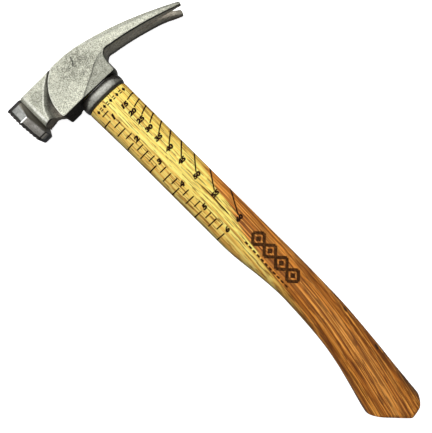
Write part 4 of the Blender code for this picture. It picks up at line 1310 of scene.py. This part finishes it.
def build_marks(mat, soft):
    inch = Marks()
    for q in range(-1, 21):
        x = -15.5 - 6.35 * q
        e = edge_hi(x)
        if q == -1:
            inch.stroke(x, e - 5.9, x, e - 12.7, 1.08)
        elif q % 4 == 0:
            inch.stroke(x, e - 0.12, x - 0.3, e - 8.3, 1.12, crowd=2.4)
        elif q % 4 == 2:
            inch.stroke(x, e - 3.1, x - 0.2, e - 12.2, 1.08, crowd=1.3)
        else:
            inch.stroke(x, e - 6.3, x - 0.1, e - 12.9, 1.08)
    inch.make("inch_scale", mat)

    digits = Marks()
    for k in range(6):
        x = -15.2 - 25.35 * k
        digits.text(str(k + 1), x, edge_hi(x) - 12.2, 4.7, bold=0.076, shear=0.2, squeeze=1.32)
    digits.make("inch_numerals", mat)

    # lines of equal claw angle, spreading from the ends of the claws
    px, py = 10.9, -92.0
    lines, numerals = Marks(), Marks()
    for deg in range(15, 61, 5):
        slope = math.tan(math.radians(deg + 1.6))
        y_in = -11.2 + (0.0 if deg < 35 else 1.0) - 0.005 * (deg - 15)
        x_in = px - slope * (y_in - py)
        y_out = -19.0
        for _ in range(20):
            y_out = edge_lo(px - slope * (y_out - py)) + 0.12
        x_out = px - slope * (y_out - py)
        lines.stroke(x_out, y_out, x_in, y_in, 1.08, crowd=2.4)
        y_num = -7.1 - 0.052 * (deg - 15)
        x_num = px - slope * (y_num - py) - 0.4
        numerals.text(str(deg), x_num, y_num, 4.2, bold=0.078, shear=0.15, squeeze=1.36)
    lines.make("angle_lines", mat)
    numerals.make("angle_numerals", mat)

    # plain border next to the sleeve: lozenges between dashes
    border = Marks()
    n = 9
    for k in range(n):
        y = 12.0 - 27.0 * k / (n - 1)
        x = -4.6
        if k % 2 == 0:
            border.polygon([(x + 1.9, y), (x, y - 1.35), (x - 1.9, y), (x, y + 1.35)])
        else:
            border.stroke(x + 0.9, y + 1.2, x + 0.9, y - 1.2, 0.9)
            border.stroke(x - 0.9, y + 1.2, x - 0.9, y - 1.2, 0.9)
    border.make("border_row", mat)

    # burnt ornament on the grip: a row of nested lozenges over a dashed line
    orn = Marks()
    x0, y0 = -158.0, -9.0
    x1, y1 = -211.0, -7.6
    ux, uy = (x1 - x0), (y1 - y0)
    ln = math.hypot(ux, uy)
    ux, uy = ux / ln, uy / ln
    vx, vy = -uy, ux                      # across, towards the claw side is negative
    count = 4
    cell = ln / count

    def q(a, b):
        return x0 + ux * a + vx * b, y0 + uy * a + vy * b

    for k in range(count):
        c0 = cell * (k + 0.5)
        half = 6.4
        pts = [(c0 - half * 1.02, 0.0), (c0, half), (c0 + half * 1.02, 0.0), (c0, -half)]
        for a, b in zip(pts, pts[1:] + pts[:1]):
            orn.stroke(*q(*a), *q(*b), 2.6)
        core = 2.7
        orn.polygon([q(c0 - core, 0.0), q(c0, core), q(c0 + core, 0.0), q(c0, -core)])
    for k in range(11):
        a = 1.0 + (ln - 2.0) * k / 11
        orn.stroke(*q(a, -9.4), *q(a + 3.2, -9.4), 1.5)
    orn.make("grip_ornament", soft)

    # one dark check that follows the grain between the two scales
    check = Marks()
    path = [(-97.0, -5.2), (-101.5, -5.5), (-106.8, -5.9), (-115.8, -6.1), (-125.3, -5.7),
            (-130.9, -5.6), (-134.5, -5.6)]
    wide = [0.25, 0.60, 0.95, 1.10, 1.20, 1.25, 0.5]
    for (a, b), w0, w1 in zip(zip(path, path[1:]), wide, wide[1:]):
        check.stroke(*a, *b, w0, w1 / w0)
    check.make("grain_check", soft)


# ------------------------------------------------------------------ small pieces
def build_small(wood, steel, pin_mat):
    def wedge(name, node, slot, mat, top_x, end_x, yt, ye, zt, ze, cy, width):
        rings = []
        n = 5
        for k in range(n + 1):
            t = k / n
            x = top_x + (end_x - top_x) * t
            a, b = yt + (ye - yt) * t, zt + (ze - zt) * t
            rings.append([(x, cy - a, MID_Z - b), (x, cy + a, MID_Z - b),
                          (x, cy + a, MID_Z + b), (x, cy - a, MID_Z + b)])
        ob = loft(name, rings, mat)
        bev = ob.modifiers.new("bevel", "BEVEL")
        bev.limit_method = "ANGLE"
        bev.angle_limit = math.radians(30)
        bev.width = width
        bev.segments = 2
        return ob

    ww = wedge("cross_wedge", "wooden_wedge", "wedge_wood", wood, 45.4, 20.7, 13.9, 12.9,
               1.7, 0.5, EYE_Y, 0.00015)
    tools = []
    for i, yc in enumerate((-6.5, 7.5)):
        out = []
        for x, a, b in ((47.4, 1.52, 6.65), (31.1, 0.55, 6.05)):
            out.append([(x, yc - a, MID_Z - b), (x, yc + a, MID_Z - b),
                        (x, yc + a, MID_Z + b), (x, yc - a, MID_Z + b)])
        tools.append(loft("pocket_%d" % i, out))
    bake_modifiers(ww)
    for t in tools:
        cut(ww, t)
    bake_modifiers(ww)
    remove(*tools)
    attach(ww, "root")
    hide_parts("wooden_wedge")
    for i, yc in enumerate((-6.5, 7.5)):
        sw = wedge("iron_wedge_%d" % (i + 1), "steel_wedge_%d" % (i + 1), "wedge_steel",
                   steel, 45.5, 31.4, 1.3, 0.35, 6.5, 5.9, yc, 0.0002)
        bake_modifiers(sw)
        sw.data.shade_smooth()
        sw.data.set_sharp_from_angle(angle=math.radians(35))
        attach(sw, "root")
        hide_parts("steel_wedge_%d" % (i + 1))
    pin = rod("cap_retaining_pin", 23.6, 44.4, 2.0, 48, chamfer=0.5, mat=pin_mat, smooth=35)
    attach(pin, "root")
    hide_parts("cap_pin")


build_head(cast_metal())
steel_mat = face_steel()
build_cap(steel_mat, bright_steel())
build_face(steel_mat)
build_sleeve(sleeve_rubber())
build_handle(hickory())
build_marks(burnt("burnt_mark", ((0.006, 0.002, 0.001), (0.016, 0.006, 0.002),
                                (0.060, 0.022, 0.006))),
            burnt("burnt_soft", ((0.016, 0.006, 0.002), (0.050, 0.018, 0.004),
                                (0.200, 0.080, 0.020))))
build_small(wedge_wood(), wedge_steel("wedge_steel", (0.30, 0.29, 0.27), 0.35, 0.6),
            wedge_steel("pin_steel", (0.36, 0.35, 0.33), 0.3, 0.5))


# ------------------------------------------------------------------ floor, light, camera
def area(name, at, aim, size, size_y, power, colour):
    lamp = bpy.data.lights.new(name, "AREA")
    lamp.shape = "RECTANGLE"
    lamp.size, lamp.size_y = size, size_y
    lamp.energy = power
    lamp.color = colour
    ob = link(bpy.data.objects.new(name, lamp))
    ob.location = at
    ob.rotation_euler = (Vector(aim) - Vector(at)).to_track_quat("-Z", "Y").to_euler()
    return ob


def build_stage():
    bpy.ops.mesh.primitive_plane_add(size=12.0, location=(0.0, 0.0, -0.0001))
    floor = bpy.context.active_object
    floor.name = "studio_floor"
    g = Graph("floor_pale")
    v, x, y, z = g.coords()
    spots = g.noise(v, 0.01, 3.0, 0.5)
    colour = g.ramp(spots, [(0.4, (0.93, 0.93, 0.93)), (0.6, (0.96, 0.96, 0.96))])
    g.finish(colour, 0.9, 0.0, Specular_IOR_Level=0.0)
    g.put(g.bsdf.inputs["Emission Color"], (1.0, 1.0, 1.0, 1.0))
    g.bsdf.inputs["Emission Strength"].default_value = 0.86
    floor.data.materials.append(g.mat)
    floor.visible_diffuse = False
    floor.visible_glossy = False

    world = bpy.data.worlds.new("studio")
    bpy.context.scene.world = world
    world.use_nodes = True
    bg = world.node_tree.nodes["Background"]
    bg.inputs["Color"].default_value = (0.95, 0.97, 1.0, 1.0)
    bg.inputs["Strength"].default_value = 0.22

    bpy.ops.mesh.primitive_uv_sphere_add(segments=48, ring_count=24, radius=5.9)
    dome = bpy.context.active_object
    dome.name = "studio_backdrop"
    d = Graph("backdrop_pale")
    d.tree.nodes.remove(d.bsdf)
    em = d.node("ShaderNodeEmission", {"Color": (1.0, 1.0, 1.0, 1.0), "Strength": 1.0})
    d.tree.links.new(em.outputs[0], d.out.inputs["Surface"])
    dome.data.materials.append(d.mat)
    dome.visible_diffuse = False
    dome.visible_glossy = False
    dome.visible_shadow = False
    dome.visible_transmission = False

    area("key_softbox", (0.71, -0.16, 1.09), (0.02, 0.0, 0.0), 1.3, 0.9, 15.5,
         (1.0, 0.995, 0.98))
    area("top_fill", (-0.10, 0.0, 1.5), (0.0, 0.0, 0.0), 0.9, 1.6, 3.0,
         (1.0, 1.0, 1.0))


build_stage()
scene = bpy.context.scene
scene.view_settings.view_transform = "Standard"
scene.view_settings.look = "None"

cam_data = bpy.data.cameras.new("camera")
cam_data.sensor_width = 36.0
cam_data.lens = 600.0 / 433.0 * 36.0
cam_data.clip_start, cam_data.clip_end = 0.01, 50.0
cam = link(bpy.data.objects.new("camera", cam_data))
cam.location = (0.0247, 0.0183, 0.5005)
cam.rotation_euler = (0.0, 0.0, math.radians(225.7))
scene.camera = cam

bpy.context.view_layer.update()
